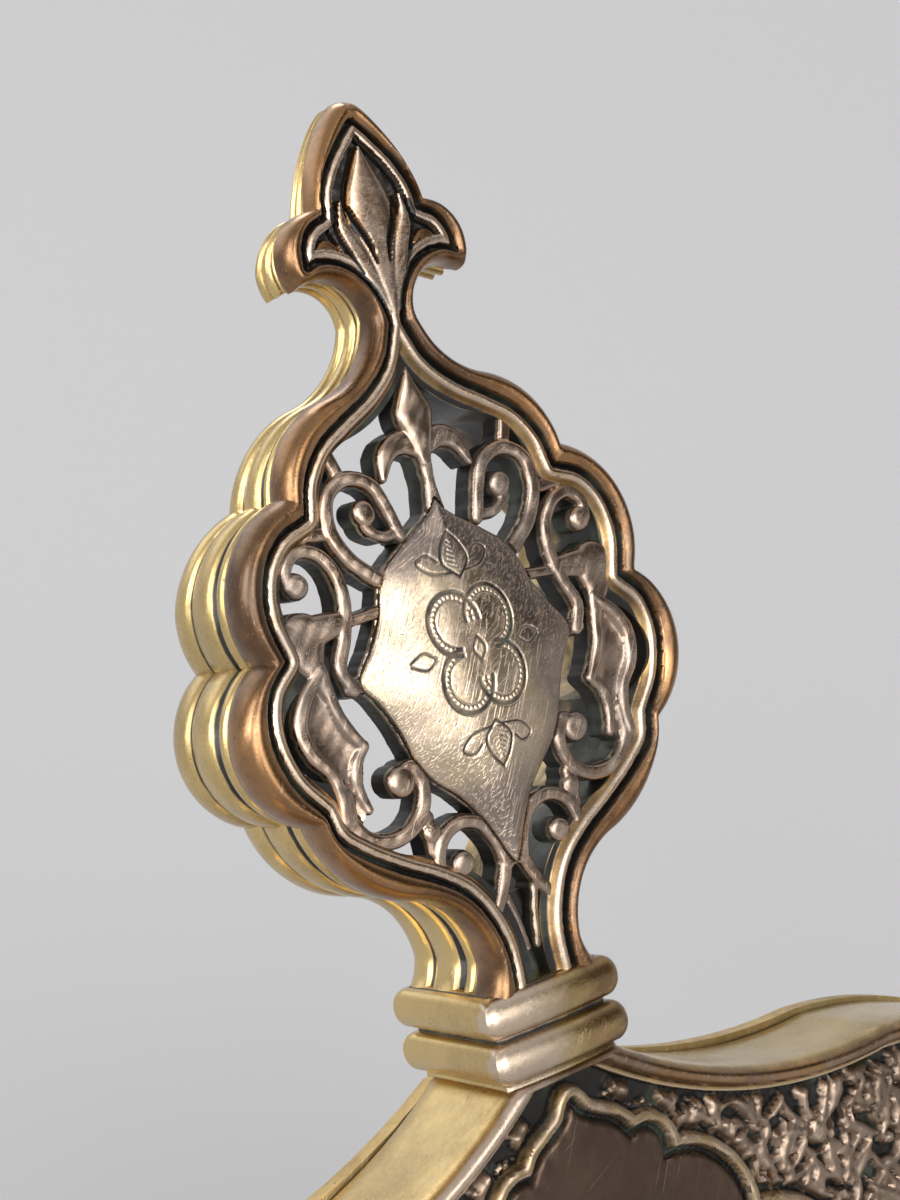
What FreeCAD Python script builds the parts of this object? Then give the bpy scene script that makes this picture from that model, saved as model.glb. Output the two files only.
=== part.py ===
"""Table-top bible stand in cast brass: an ogee-headed back with a pierced finial, a ledge and a folding strut.

Everything on the back is drawn in the panel frame: x to the reader's right, y away from the reader, and
z up the back.  z = 0 is the joint under the finial's neck, and y = 0 is the front of the pierced work.
placed() leans it back, and the finished stand is moved so that its footprint is centred on the origin.
"""

import FreeCAD
import Part

import math
import os

Vector = FreeCAD.Vector

# ---- driving dimensions, in millimetres and degrees ----
LEAN = 22.0                 # the back leans this far from upright
OPENING = 44.0              # angle between the folded and the open strut
FOLD_TRAVEL = 43.0          # how far the strut folds in from its open stop
GROUND = -224.0             # height of the table relative to the neck joint, after leaning

RUN_GAP = 0.05              # radial clearance of every pin and screw in its hole
SEAT_GAP = 0.05             # clearance of a panel in its rebate

FINIAL_DEPTH = 16.6         # finial thickness at the lobes and neck
TIP_DEPTH = 8.0             # finial thickness at the waist and tip
RIM_RISE = 1.2              # how far the rims stand proud of the pierced work
REBATE_IN = 3.3             # rebate edge, measured in from the outline
WINDOW_IN = 4.4             # clear window edge, measured in from the outline
FRET_THICK = 3.4

WALL = 4.4                  # head frame wall
FRAME_DEPTH = 14.8
BACK_PLATE_THICK = 2.2
BACK_PLATE_PROUD = 0.6
GROUND_PANEL_FRONT = 1.6
GROUND_PANEL_THICK = 3.0
REST_PANEL_THICK = 1.4

SHOULDER_X = 100.0          # half width of the head frame
FOOT_Z = -212.0             # bottom of the head frame, which is the book's seat

LEDGE_HALF = 112.0
LEDGE_FRONT = -62.0
LEDGE_THICK = 5.0
SEAT_RISE = 0.6             # the book's seat stands this much above the ledge
SEAT_HALF = 104.0
SEAT_FRONT, SEAT_REAR = -52.0, -3.0
LIP_THICK = 4.4

BRACKET_X = 84.0
BRACKET_THICK = 10.0

HINGE_Z = -70.0
HINGE_Y = 25.5
KNUCKLE_R = 5.5
PIN_R = 2.5
STRUT_TOP_HALF = 19.7
STRUT_FOOT_HALF = 11.0
STRUT_THICK = 5.0

FINGER_X = 64.0
FINGER_Z = -203.6
FINGER_THICK = 1.9
FINGER_LENGTH = 46.0
FINGER_BORE_R = 1.66

# ---- outlines: right halves from bottom to top, as a start point and arcs (through a point, to a point) ----
FINIAL_START = (5.8, 9.0)
FINIAL_HALF = [
    ("line", (5.8, 12.4)),
    ("arc", (7.5, 18.0), (12.6, 21.8)),       # throat
    ("arc", (19.0, 25.4), (22.6, 32.2)),      # lowest lobe
    ("arc", (28.4, 41.4), (24.2, 49.2)),      # widest lobe
    ("arc", (24.4, 58.8), (17.8, 64.8)),      # upper lobe
    ("arc", (15.4, 70.4), (9.6, 74.0)),       # shoulder
    ("arc", (4.6, 77.3), (2.8, 81.2)),        # waist
    ("arc", (4.8, 84.9), (8.6, 85.7)),        # under the barb
    ("line", (10.6, 85.0)),
    ("arc", (11.0, 90.0), (6.8, 93.0)),       # barb
    ("arc", (5.3, 97.8), (0.8, 103.4)),       # spade
    ("arc", (0.45, 103.8), (0.0, 103.9)),     # tip
]
WINDOW_SEGMENTS = slice(1, 7)                 # throat to waist
HEAD_START = (SHOULDER_X, FOOT_Z)
HEAD_HALF = [
    ("line", (SHOULDER_X, -70.1)),
    ("arc", (82.7, -28.3), (46.0, -11.2)),    # shoulder of the ogee
    ("arc", (20.0, -6.9), (7.2, 0.0)),        # sweep up to the neck
]
REST_START = (78.0, -205.0)
REST_CUSPS = [(78.0, -112.0), (74.0, -94.0), (67.0, -77.0), (57.0, -61.5), (45.0, -48.0),
              (32.0, -36.5), (20.0, -25.5), (9.8, -14.2), (6.4, -9.6)]
LOBE_RISE = 0.24                              # how far a foil bulges, as a share of its chord
REST_APEX = (0.0, -5.4)


# ---- plane geometry ----
def circle_through(a, b, c):
    """Centre and radius of the circle through three points."""
    ax, az = a
    bx, bz = b
    cx, cz = c
    d = 2 * (ax * (bz - cz) + bx * (cz - az) + cx * (az - bz))
    ux = ((ax**2 + az**2) * (bz - cz) + (bx**2 + bz**2) * (cz - az) + (cx**2 + cz**2) * (az - bz)) / d
    uz = ((ax**2 + az**2) * (cx - bx) + (bx**2 + bz**2) * (ax - cx) + (cx**2 + cz**2) * (bx - ax)) / d
    return (ux, uz), math.hypot(ax - ux, az - uz)


def turns_left(a, b, c):
    return (b[0] - a[0]) * (c[1] - a[1]) - (b[1] - a[1]) * (c[0] - a[0]) > 0


def inset_curve(start, segment, inset):
    """A segment's curve moved left by inset: ("line", point, direction) or ("circle", centre, radius)."""
    end = segment[-1]
    if segment[0] == "line":
        length = math.hypot(end[0] - start[0], end[1] - start[1])
        along = ((end[0] - start[0]) / length, (end[1] - start[1]) / length)
        return "line", (start[0] - along[1] * inset, start[1] + along[0] * inset), along
    centre, radius = circle_through(start, segment[1], end)
    return "circle", centre, radius - inset if turns_left(start, segment[1], end) else radius + inset


def meet(first, second, near):
    """The crossing of two curves nearest to a point, or their closest approach if they only touch."""
    if first[0] == "line" and second[0] == "line":
        (_, p, d), (_, q, e) = first, second
        t = ((q[0] - p[0]) * e[1] - (q[1] - p[1]) * e[0]) / (d[0] * e[1] - d[1] * e[0])
        return p[0] + d[0] * t, p[1] + d[1] * t
    if first[0] == "line" or second[0] == "line":
        line, circle = (first, second) if first[0] == "line" else (second, first)
        (_, p, d), (_, c, r) = line, circle
        t = (c[0] - p[0]) * d[0] + (c[1] - p[1]) * d[1]
        foot = (p[0] + d[0] * t, p[1] + d[1] * t)
        half = math.sqrt(max(0.0, r * r - (foot[0] - c[0]) ** 2 - (foot[1] - c[1]) ** 2))
        options = [(foot[0] + d[0] * s * half, foot[1] + d[1] * s * half) for s in (-1, 1)]
    else:
        (_, c, r), (_, e, q) = first, second
        gap = math.hypot(e[0] - c[0], e[1] - c[1])
        along = ((e[0] - c[0]) / gap, (e[1] - c[1]) / gap)
        t = (gap * gap + r * r - q * q) / (2 * gap)
        half = math.sqrt(max(0.0, r * r - t * t))
        options = [(c[0] + along[0] * t - along[1] * s * half, c[1] + along[1] * t + along[0] * s * half)
                   for s in (-1, 1)]
    return min(options, key=lambda o: math.hypot(o[0] - near[0], o[1] - near[1]))


def inset_half(start, segments, inset, floor=None, axis=True):
    """The half outline moved inward, with mitred cusps, from height floor up to the axis if axis is true."""
    corners = [start] + [s[-1] for s in segments]
    curves = [inset_curve(corners[i], s, inset) for i, s in enumerate(segments)]
    level = ("line", (0.0, start[1] if floor is None else floor), (1.0, 0.0))
    centre_line = ("line", (0.0, 0.0), (0.0, 1.0))
    points = [meet(curves[0], level, start)]
    points += [meet(curves[i], curves[i + 1], corners[i + 1]) for i in range(len(curves) - 1)]
    points.append(meet(curves[-1], centre_line, corners[-1]) if axis else corners[-1])
    moved = []
    for i, curve in enumerate(curves):
        if curve[0] == "line":
            moved.append(("line", points[i + 1]))
        else:
            centre, radius = curve[1], curve[2]
            middle = ((points[i][0] + points[i + 1][0]) / 2, (points[i][1] + points[i + 1][1]) / 2)
            away = math.hypot(middle[0] - centre[0], middle[1] - centre[1])
            via = tuple(centre[k] + (middle[k] - centre[k]) * radius / away for k in (0, 1))
            moved.append(("arc", via, points[i + 1]))
    return points[0], moved


def both_halves(start, segments):
    """Edges in the x-z plane for a right half and its mirror image, closed across the bottom and the top."""
    edges = []
    for side in (1, -1):
        point = start
        for segment in segments:
            a, b = Vector(side * point[0], 0, point[1]), Vector(side * segment[-1][0], 0, segment[-1][1])
            if segment[0] == "line":
                edges.append(Part.makeLine(a, b))
            else:
                via = Vector(side * segment[1][0], 0, segment[1][1])
                edges.append(Part.Arc(a, via, b).toShape())
            point = segment[-1]
    top = segments[-1][-1]
    for x, z in (start, top):
        if x > 1e-6:
            edges.append(Part.makeLine(Vector(-x, 0, z), Vector(x, 0, z)))
    return edges


def prism(edges, front, back):
    """The closed outline made by the edges, extruded from y = front to y = back."""
    face = Part.Face(Part.Wire(Part.__sortEdges__(edges)))
    solid = face.extrude(Vector(0, back - front, 0))
    solid.translate(Vector(0, front, 0))
    return solid


def outline_prism(start, segments, front, back):
    return prism(both_halves(start, segments), front, back)


def foils(cusps, rise):
    """Arcs that bulge outward between successive cusps."""
    arcs = []
    for a, b in zip(cusps, cusps[1:]):
        dx, dz = b[0] - a[0], b[1] - a[1]
        arcs.append(("arc", ((a[0] + b[0]) / 2 + dz * rise, (a[1] + b[1]) / 2 - dx * rise), b))
    return arcs


def cylinder(radius, start, end):
    start, end = Vector(*start), Vector(*end)
    return Part.makeCylinder(radius, start.distanceToPoint(end), start, end - start)


def box(low, high):
    return Part.makeBox(*(high[k] - low[k] for k in range(3)), Vector(*low))


def fused(first, *rest):
    shape = first.multiFuse(list(rest)) if rest else first
    return shape.removeSplitter()


def mirrored(shape):
    return shape.mirror(Vector(0, 0, 0), Vector(1, 0, 0))


# ---- fasteners ----
def slotted_screw(head, tip, shank_r, head_r, head_h):
    """A slotted cheese-head screw: head is the point under its head, and tip is the shank's end."""
    head, tip = Vector(*head), Vector(*tip)
    inward = (tip - head).normalize()
    body = cylinder(shank_r, tuple(head), tuple(tip))
    cap = Part.makeCylinder(head_r, head_h, head - inward * head_h, inward)
    across = Vector(1, 0, 0) if abs(inward.x) < 0.9 else Vector(0, 1, 0)
    slot = Part.makeBox(head_r * 3, head_r * 0.32, head_h)
    slot.translate(Vector(-head_r * 1.5, -head_r * 0.16, 0))
    turn = FreeCAD.Rotation(across, inward.cross(across), inward, "ZXY")
    slot.Placement = FreeCAD.Placement(head - inward * head_h * 1.5, turn).multiply(slot.Placement)
    return fused(body, cap.cut(slot))


def hexagon_nut(centre_low, height, across, bore_r):
    radius = across / math.sqrt(3)
    corners = [Vector(radius * math.cos(math.radians(60 * k)), radius * math.sin(math.radians(60 * k)), 0)
               for k in range(7)]
    nut = Part.Face(Part.makePolygon(corners)).extrude(Vector(0, 0, height))
    nut = nut.cut(Part.makeCylinder(bore_r, height))
    nut.translate(Vector(*centre_low))
    return nut


# ---- finial ----
NECK_Y = 8.0                # middle of the neck's thickness
COLLAR_HALF_X, COLLAR_HALF_Y = 6.7, 7.9
BEAD_BULGE = 1.25
STUD_Y = 9.8                # the stud stands behind the panels
STUD_R, STUD_BOTTOM, STUD_TOP = 2.2, -16.0, 7.5


def collar():
    """Two mitred half-round bands over a plain fillet, square in plan."""
    def banded(half, along_y):
        point = (lambda w, z: Vector(0, NECK_Y + w, z)) if along_y else (lambda w, z: Vector(w, 0, z))
        edges = [Part.makeLine(point(-half, z), point(half, z)) for z in (0, 11.4)]
        for side in (-1, 1):
            stops = [0.0, 1.8, 6.3, 6.8, 11.4]
            for low, high, bulges in zip(stops, stops[1:], (False, True, False, True)):
                a, b = point(side * half, low), point(side * half, high)
                if bulges:
                    edges.append(Part.Arc(a, point(side * (half + BEAD_BULGE), (low + high) / 2), b).toShape())
                else:
                    edges.append(Part.makeLine(a, b))
        face = Part.Face(Part.Wire(Part.__sortEdges__(edges)))
        reach = 40
        solid = face.extrude(Vector(reach, 0, 0) if along_y else Vector(0, reach, 0))
        solid.translate(Vector(-reach / 2, 0, 0) if along_y else Vector(0, NECK_Y - reach / 2, 0))
        return solid
    return banded(COLLAR_HALF_X, False).common(banded(COLLAR_HALF_Y, True))


def finial_frame():
    body = outline_prism(FINIAL_START, FINIAL_HALF, -RIM_RISE, FINIAL_DEPTH)
    window = FINIAL_HALF[WINDOW_SEGMENTS]
    window_start = FINIAL_HALF[0][-1]
    rebate = outline_prism(*inset_half(window_start, window, REBATE_IN, floor=12.6), -5, FRET_THICK)
    clear = outline_prism(*inset_half(window_start, window, WINDOW_IN, floor=20.0), FRET_THICK - 1, 30)
    # the back falls forward from full depth at the upper lobes to the thin waist and tip
    slope = Part.BSplineCurve()
    fall = [(FINIAL_DEPTH + 0.01, 46), (15.6, 56), (11.6, 68), (TIP_DEPTH + 0.4, 79), (TIP_DEPTH, 90),
            (TIP_DEPTH, 106)]
    slope.interpolate([Vector(-40, y, z) for y, z in fall])
    behind = Part.makePolygon([Vector(-40, TIP_DEPTH, 106), Vector(-40, 40, 106), Vector(-40, 40, 46),
                               Vector(-40, FINIAL_DEPTH + 0.01, 46)])
    wire = Part.Wire(Part.__sortEdges__([slope.toShape()] + behind.Edges))
    hollow = Part.Face(wire).extrude(Vector(80, 0, 0))
    neck = collar().cut(cylinder(STUD_R + RUN_GAP, (0, STUD_Y, -1), (0, STUD_Y, STUD_TOP + 0.5)))
    body = body.cut(box((-40, -10, -5), (40, 40, 11.0)))
    return fused(body.cut(rebate).cut(clear).cut(hollow), neck)


def ribbon(points, widths, thick=FRET_THICK):
    """A flat scroll along a smooth centre line, its width worked out between the given widths."""
    spline = Part.BSplineCurve()
    spline.interpolate([Vector(x, 0, z) for x, z in points])
    first, last = spline.FirstParameter, spline.LastParameter
    count = max(7, 2 * len(points) - 1)
    left, right = [], []
    for k in range(count):
        share = k / (count - 1)
        t = first + (last - first) * share
        at, along = spline.value(t), spline.tangent(t)[0]
        across = Vector(-along.z, 0, along.x)
        place = share * (len(widths) - 1)
        i = min(int(place), len(widths) - 2)
        half = (widths[i] + (widths[i + 1] - widths[i]) * (place - i)) / 2
        left.append(at + across * half)
        right.append(at - across * half)
        if k == 0:
            nose = at - along * half
        tail = at + along * half
    edge_l, edge_r = Part.BSplineCurve(), Part.BSplineCurve()
    edge_l.interpolate(left)
    edge_r.interpolate(right)
    edges = [edge_l.toShape(), Part.Arc(left[-1], tail, right[-1]).toShape(), edge_r.toShape(),
             Part.Arc(left[0], nose, right[0]).toShape()]
    return prism(edges, 0, thick)


def disc(x, z, radius, thick=FRET_THICK):
    return cylinder(radius, (x, 0, z), (x, thick, z))


# right-hand scrolls of the pierced work: centre line points, then widths from first to last point
SCROLLS = [
    ([(9.0, 54.8), (11.7, 57.4), (13.2, 61.0), (12.5, 64.1), (10.0, 65.4), (7.3, 64.4), (6.0, 61.8),
      (5.0, 58.6)], [1.7, 1.6, 1.5, 1.3]),
    ([(5.2, 59.0), (7.2, 58.9), (8.8, 60.0), (8.8, 61.7)], [1.2, 1.1, 1.4]),
    ([(19.2, 56.0), (19.2, 57.8), (17.6, 59.2), (15.4, 58.7), (13.7, 56.4), (13.4, 53.2), (14.3, 49.8),
      (15.5, 46.8), (14.6, 44.4)], [1.3, 1.5, 1.5, 1.4]),
    ([(16.0, 51.2), (17.6, 48.6), (18.2, 45.6), (19.2, 42.0), (18.6, 38.4), (17.6, 35.2), (18.2, 33.0)],
     [2.4, 2.6, 2.2, 4.4, 5.2, 3.2, 1.8]),
    ([(19.6, 50.4), (18.2, 48.4)], [4.6, 2.6]),
    ([(17.6, 37.8), (13.6, 37.9)], [2.6, 0.8]),
    ([(18.3, 34.6), (18.2, 31.6), (16.6, 29.4), (14.0, 28.6), (11.4, 29.2), (9.6, 31.0), (9.1, 33.6),
      (10.1, 35.3), (11.6, 34.4)], [1.8, 1.6, 1.5, 1.6]),
    ([(1.0, 22.6), (1.8, 25.2), (3.4, 27.5), (5.8, 28.2), (8.1, 27.2), (9.2, 24.9), (9.0, 22.2)],
     [1.5, 1.4, 1.4]),
    ([(9.0, 23.2), (7.6, 22.9), (6.6, 24.0)], [1.1, 1.2, 1.4]),
    ([(0.0, 27.0), (1.1, 22.8), (2.4, 19.8), (4.4, 17.0)], [1.9, 1.5, 1.3]),
    ([(0.5, 66.9), (2.6, 67.9), (4.5, 67.0), (5.5, 64.6)], [1.6, 2.2, 1.8, 0.9]),
    ([(8.0, 51.6), (13.8, 51.2)], [1.1, 1.0]),
    ([(12.4, 44.8), (15.0, 44.6)], [1.8, 1.4]),
    ([(13.6, 60.4), (17.0, 60.8)], [1.2, 1.4]),
    ([(10.4, 65.2), (11.4, 68.0)], [1.4, 1.4]),
    ([(9.4, 29.8), (9.3, 26.2)], [1.4, 1.6]),
]
BULBS = [(8.8, 61.7, 1.3), (18.4, 56.0, 1.3), (11.6, 34.2, 1.6), (6.5, 24.0, 1.3), (9.3, 28.3, 1.1)]
SHIELD = [(0.9, 60.2), (5.6, 57.2), (8.8, 54.6), (9.6, 51.6), (11.6, 48.0), (13.7, 44.8), (11.8, 41.2),
          (10.2, 38.0), (8.8, 34.2), (6.6, 32.2), (4.0, 29.4), (2.2, 26.4), (0.8, 24.0)]


def finial_fret():
    window = FINIAL_HALF[WINDOW_SEGMENTS]
    start = FINIAL_HALF[0][-1]
    outer = outline_prism(*inset_half(start, window, REBATE_IN + SEAT_GAP, floor=12.7), 0, FRET_THICK)
    opening = outline_prism(*inset_half(start, window, WINDOW_IN, floor=18.6), -1, FRET_THICK + 1)
    recess = outline_prism(*inset_half(start, window, WINDOW_IN, floor=12.9), -1, FRET_THICK - 1.1)
    edges = []
    for side in (1, -1):
        points = [Vector(side * x, 0, z) for x, z in SHIELD]
        edges += Part.makePolygon(points).Edges
    for x, z in (SHIELD[0], SHIELD[-1]):
        edges.append(Part.makeLine(Vector(-x, 0, z), Vector(x, 0, z)))
    pieces = [prism(edges, 0, FRET_THICK), ribbon([(0, 59.0), (0, 63.5), (0, 68.0)], [2.2, 1.1, 1.8])]
    petal = [(0, 75.2), (2.3, 69.9), (0.7, 66.4), (-0.7, 66.4), (-2.3, 69.9), (0, 75.2)]
    pieces.append(prism(Part.makePolygon([Vector(x, 0, z) for x, z in petal]).Edges, 0, FRET_THICK))
    half = [ribbon(points, widths) for points, widths in SCROLLS] + [disc(*bulb) for bulb in BULBS]
    pieces += half + [mirrored(p) for p in half]
    work = outer.common(fused(pieces[0], *pieces[1:]))
    return fused(outer.cut(opening).cut(recess), work)


def finial_stud():
    return cylinder(STUD_R, (0, STUD_Y, STUD_BOTTOM), (0, STUD_Y, STUD_TOP))


def finial_washer():
    ring = cylinder(4.7, (0, STUD_Y, CROWN_LOW - 1.0), (0, STUD_Y, CROWN_LOW))
    return ring.cut(cylinder(STUD_R + RUN_GAP, (0, STUD_Y, -30), (0, STUD_Y, 0)))


# ---- head frame and panels ----
HEAD_INNER = inset_half(HEAD_START, HEAD_HALF, WALL, floor=FOOT_Z + WALL)
LUG_HEIGHTS = (-82.0, -140.0, -196.0)
LUG_X = SHOULDER_X - WALL - 4.0
LUG_BACK = 10.6
CROWN_LOW = -12.0           # underside of the crown block that the stud passes through
BACK_SCREWS = [(97.8, -200.0), (97.8, -140.0), (97.8, -84.0), (80.6, -31.6), (44.0, -13.6)]


def head_frame():
    ring = outline_prism(HEAD_START, HEAD_HALF, -RIM_RISE, FRAME_DEPTH)
    ring = ring.cut(outline_prism(*HEAD_INNER, -5, 30))
    crown = box((-9, GROUND_PANEL_FRONT + GROUND_PANEL_THICK + 0.1, CROWN_LOW), (9, FRAME_DEPTH, -5))
    crown = crown.common(outline_prism(HEAD_START, HEAD_HALF, -5, 30))
    lugs = []
    for side in (1, -1):
        for z in LUG_HEIGHTS:
            x0, x1 = sorted((side * (LUG_X - 4.0), side * (SHOULDER_X - WALL + 1)))
            lug = box((x0, GROUND_PANEL_FRONT + GROUND_PANEL_THICK, z - 5), (x1, LUG_BACK, z + 5))
            lugs.append(lug)
    frame = fused(ring, crown, *lugs)
    frame = frame.cut(cylinder(STUD_R + RUN_GAP, (0, STUD_Y, 5), (0, STUD_Y, -30)))
    for side in (1, -1):
        for z in LUG_HEIGHTS:
            frame = frame.cut(cylinder(1.3 + RUN_GAP, (side * LUG_X, 0, z), (side * LUG_X, 20, z)))
        for x, z in BACK_SCREWS:
            frame = frame.cut(cylinder(1.1 + RUN_GAP, (side * x, FRAME_DEPTH - 8.2, z), (side * x, 40, z)))
        for x, y in LEDGE_SCREWS:
            frame = frame.cut(cylinder(1.4 + RUN_GAP, (side * x, y, FOOT_Z - 1), (side * x, y, FOOT_Z + 3.6)))
    return frame


def spandrel_panel():
    start, segments = inset_half(HEAD_START, HEAD_HALF, WALL + SEAT_GAP, floor=FOOT_Z + WALL + SEAT_GAP)
    panel = outline_prism(start, segments, GROUND_PANEL_FRONT, GROUND_PANEL_FRONT + GROUND_PANEL_THICK)
    for side in (1, -1):
        for z in LUG_HEIGHTS:
            x = side * LUG_X
            panel = panel.cut(cylinder(1.3 + RUN_GAP, (x, GROUND_PANEL_FRONT + 0.9, z), (x, 20, z)))
    return panel


def rest_panel():
    arcs = foils([REST_CUSPS[0]] + REST_CUSPS[1:], LOBE_RISE)
    apex = ("arc", (1.9, -7.6), REST_APEX)
    segments = [("line", REST_CUSPS[0])] + arcs + [apex]
    return outline_prism(REST_START, segments, GROUND_PANEL_FRONT - REST_PANEL_THICK, GROUND_PANEL_FRONT)


def panel_screws():
    screws = []
    for side in (1, -1):
        for z in LUG_HEIGHTS:
            x = side * LUG_X
            screws.append(slotted_screw((x, LUG_BACK, z), (x, GROUND_PANEL_FRONT + 1.0, z), 1.3, 2.5, 1.6))
    return screws


def back_plate():
    start, segments = inset_half(HEAD_START, HEAD_HALF, -BACK_PLATE_PROUD, floor=FOOT_Z, axis=False)
    segments[-1] = ("arc", segments[-1][1], (7.2, BACK_PLATE_PROUD - 1.4))
    plate = outline_prism(start, segments, FRAME_DEPTH, FRAME_DEPTH + BACK_PLATE_THICK)
    for side in (1, -1):
        for x, z in BACK_SCREWS:
            plate = plate.cut(cylinder(1.1 + RUN_GAP, (side * x, 0, z), (side * x, 40, z)))
        for x, z in HINGE_SCREWS:
            plate = plate.cut(cylinder(1.5 + RUN_GAP, (side * x, 0, z), (side * x, 40, z)))
    return plate


def back_plate_screws():
    back = FRAME_DEPTH + BACK_PLATE_THICK
    return [slotted_screw((side * x, back, z), (side * x, FRAME_DEPTH - 8, z), 1.1, 2.2, 1.2)
            for side in (1, -1) for x, z in BACK_SCREWS]


# ---- ledge ----
LEDGE_SCREWS = [(92.0, -0.2 + 2.4), (30.0, -0.2 + 2.4)]
LIP_SCREWS = [96.0, 40.0]
LIP_Y = LEDGE_FRONT
LIP_TOP = [(108.0, -206.0), (96.0, -203.2), (84.0, -201.4), (73.0, -198.8), (55.0, -198.8), (44.0, -201.4),
           (32.0, -201.4), (20.0, -200.0), (9.0, -196.8)]


def book_seat():
    """The raised strip that the book stands on, with rounded corners."""
    seat = box((-SEAT_HALF, SEAT_FRONT, FOOT_Z - 1), (SEAT_HALF, SEAT_REAR, FOOT_Z + SEAT_RISE))
    upright = [e for e in seat.Edges if abs(e.BoundBox.ZMax - e.BoundBox.ZMin) > 0.1]
    return seat.makeFillet(4.0, upright)


def ledge():
    back = FRAME_DEPTH + BACK_PLATE_THICK
    plate = box((-LEDGE_HALF, LEDGE_FRONT, FOOT_Z - LEDGE_THICK), (LEDGE_HALF, back, FOOT_Z))
    corners = [e for e in plate.Edges if abs(e.Vertexes[0].Point.x - e.Vertexes[1].Point.x) < 1e-6
               and abs(e.Vertexes[0].Point.y - e.Vertexes[1].Point.y) < 1e-6]
    plate = plate.makeFillet(6.0, corners)
    long_edges = [e for e in plate.Edges if abs(e.BoundBox.ZMax - e.BoundBox.ZMin) < 1e-6
                  and e.BoundBox.ZMin < FOOT_Z - 1]
    plate = plate.makeChamfer(1.6, long_edges)
    plate = fused(plate, book_seat())
    for side in (1, -1):
        for x, y in LEDGE_SCREWS:
            plate = plate.cut(cylinder(1.4 + RUN_GAP, (side * x, y, -300), (side * x, y, 0)))
        for x in LIP_SCREWS:
            y = LIP_Y + LIP_THICK / 2
            plate = plate.cut(cylinder(1.2 + RUN_GAP, (side * x, y, -300), (side * x, y, 0)))
        for y in BRACKET_SCREWS:
            plate = plate.cut(cylinder(1.4 + RUN_GAP, (side * BRACKET_X, y, -300), (side * BRACKET_X, y, 0)))
    return plate


def ledge_lip():
    arcs = foils(LIP_TOP, 0.22)
    segments = [("line", LIP_TOP[0])] + arcs + [("arc", (2.6, -195.2), (0.0, -191.0))]
    lip = outline_prism((LIP_TOP[0][0], FOOT_Z), segments, LIP_Y, LIP_Y + LIP_THICK)
    for side in (1, -1):
        x = side * FINGER_X
        lip = lip.cut(cylinder(1.6 + RUN_GAP, (x, -80, FINGER_Z), (x, -50, FINGER_Z)))
        for x in LIP_SCREWS:
            y = LIP_Y + LIP_THICK / 2
            lip = lip.cut(cylinder(1.2 + RUN_GAP, (side * x, y, FOOT_Z - 1), (side * x, y, FOOT_Z + 5.2)))
    return lip


def ledge_screws():
    low = FOOT_Z - LEDGE_THICK
    return [slotted_screw((side * x, y, low), (side * x, y, FOOT_Z + 3.4), 1.4, 2.6, 1.6)
            for side in (1, -1) for x, y in LEDGE_SCREWS]


def lip_screws():
    low, y = FOOT_Z - LEDGE_THICK, LIP_Y + LIP_THICK / 2
    return [slotted_screw((side * x, y, low), (side * x, y, FOOT_Z + 5), 1.2, 2.2, 1.4)
            for side in (1, -1) for x in LIP_SCREWS]


# ---- page fingers ----
def page_finger(side):
    """A leaf-shaped finger that swings on the lip and holds the open pages."""
    front = LIP_Y + LIP_THICK + 0.45
    base, tip = FINGER_Z, FINGER_Z + FINGER_LENGTH
    edges = [
        Part.Arc(Vector(-3.6, 0, base), Vector(0, 0, base - 4.6), Vector(3.6, 0, base)).toShape(),
        Part.Arc(Vector(3.6, 0, base), Vector(2.0, 0, base + 9), Vector(2.4, 0, base + 18)).toShape(),
        Part.Arc(Vector(2.4, 0, base + 18), Vector(5.6, 0, base + 29), Vector(0, 0, tip)).toShape(),
        Part.Arc(Vector(-2.4, 0, base + 18), Vector(-5.6, 0, base + 29), Vector(0, 0, tip)).toShape(),
        Part.Arc(Vector(-3.6, 0, base), Vector(-2.0, 0, base + 9), Vector(-2.4, 0, base + 18)).toShape(),
    ]
    finger = prism(edges, front, front + FINGER_THICK)
    finger = finger.cut(cylinder(FINGER_BORE_R, (0, -80, base), (0, -30, base)))
    finger.translate(Vector(side * FINGER_X, 0, 0))
    return finger


def finger_screws():
    back = LIP_Y + LIP_THICK + 0.45 + FINGER_THICK + 0.1
    screws = []
    for side in (1, -1):
        x = side * FINGER_X
        screws.append(slotted_screw((x, back, FINGER_Z), (x, LIP_Y - 2.6, FINGER_Z), 1.6, 3.4, 1.2))
    return screws


def finger_washers():
    low = LIP_Y + LIP_THICK
    ring = cylinder(3.6, (0, low, FINGER_Z), (0, low + 0.4, FINGER_Z))
    ring = ring.cut(cylinder(1.6 + RUN_GAP, (0, low - 1, FINGER_Z), (0, low + 1, FINGER_Z)))
    return [ring.translated(Vector(side * FINGER_X, 0, 0)) for side in (1, -1)]


def finger_nuts():
    """Domed cap nuts on the front of the lip."""
    nuts = []
    for side in (1, -1):
        x = side * FINGER_X
        base = cylinder(3.4, (x, LIP_Y - 2.0, FINGER_Z), (x, LIP_Y, FINGER_Z))
        dome = Part.makeSphere(3.0, Vector(x, LIP_Y - 2.0, FINGER_Z))
        nut = fused(base, dome.common(box((x - 5, LIP_Y - 8, FINGER_Z - 5), (x + 5, LIP_Y - 1, FINGER_Z + 5))))
        nuts.append(nut.cut(cylinder(1.6 + RUN_GAP, (x, LIP_Y - 2.8, FINGER_Z), (x, LIP_Y + 1, FINGER_Z))))
    return nuts


# ---- hinge and strut ----
HINGE_SCREWS = [(12.0, HINGE_Z + 17.5), (12.0, HINGE_Z - 17.5)]
HINGE_PLATE_BACK = FRAME_DEPTH + BACK_PLATE_THICK + 2.5
LUG_IN, LUG_OUT = 20.0, 26.0
STRUT_LENGTH = 158.0
STOP_REACH = 9.0


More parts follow.
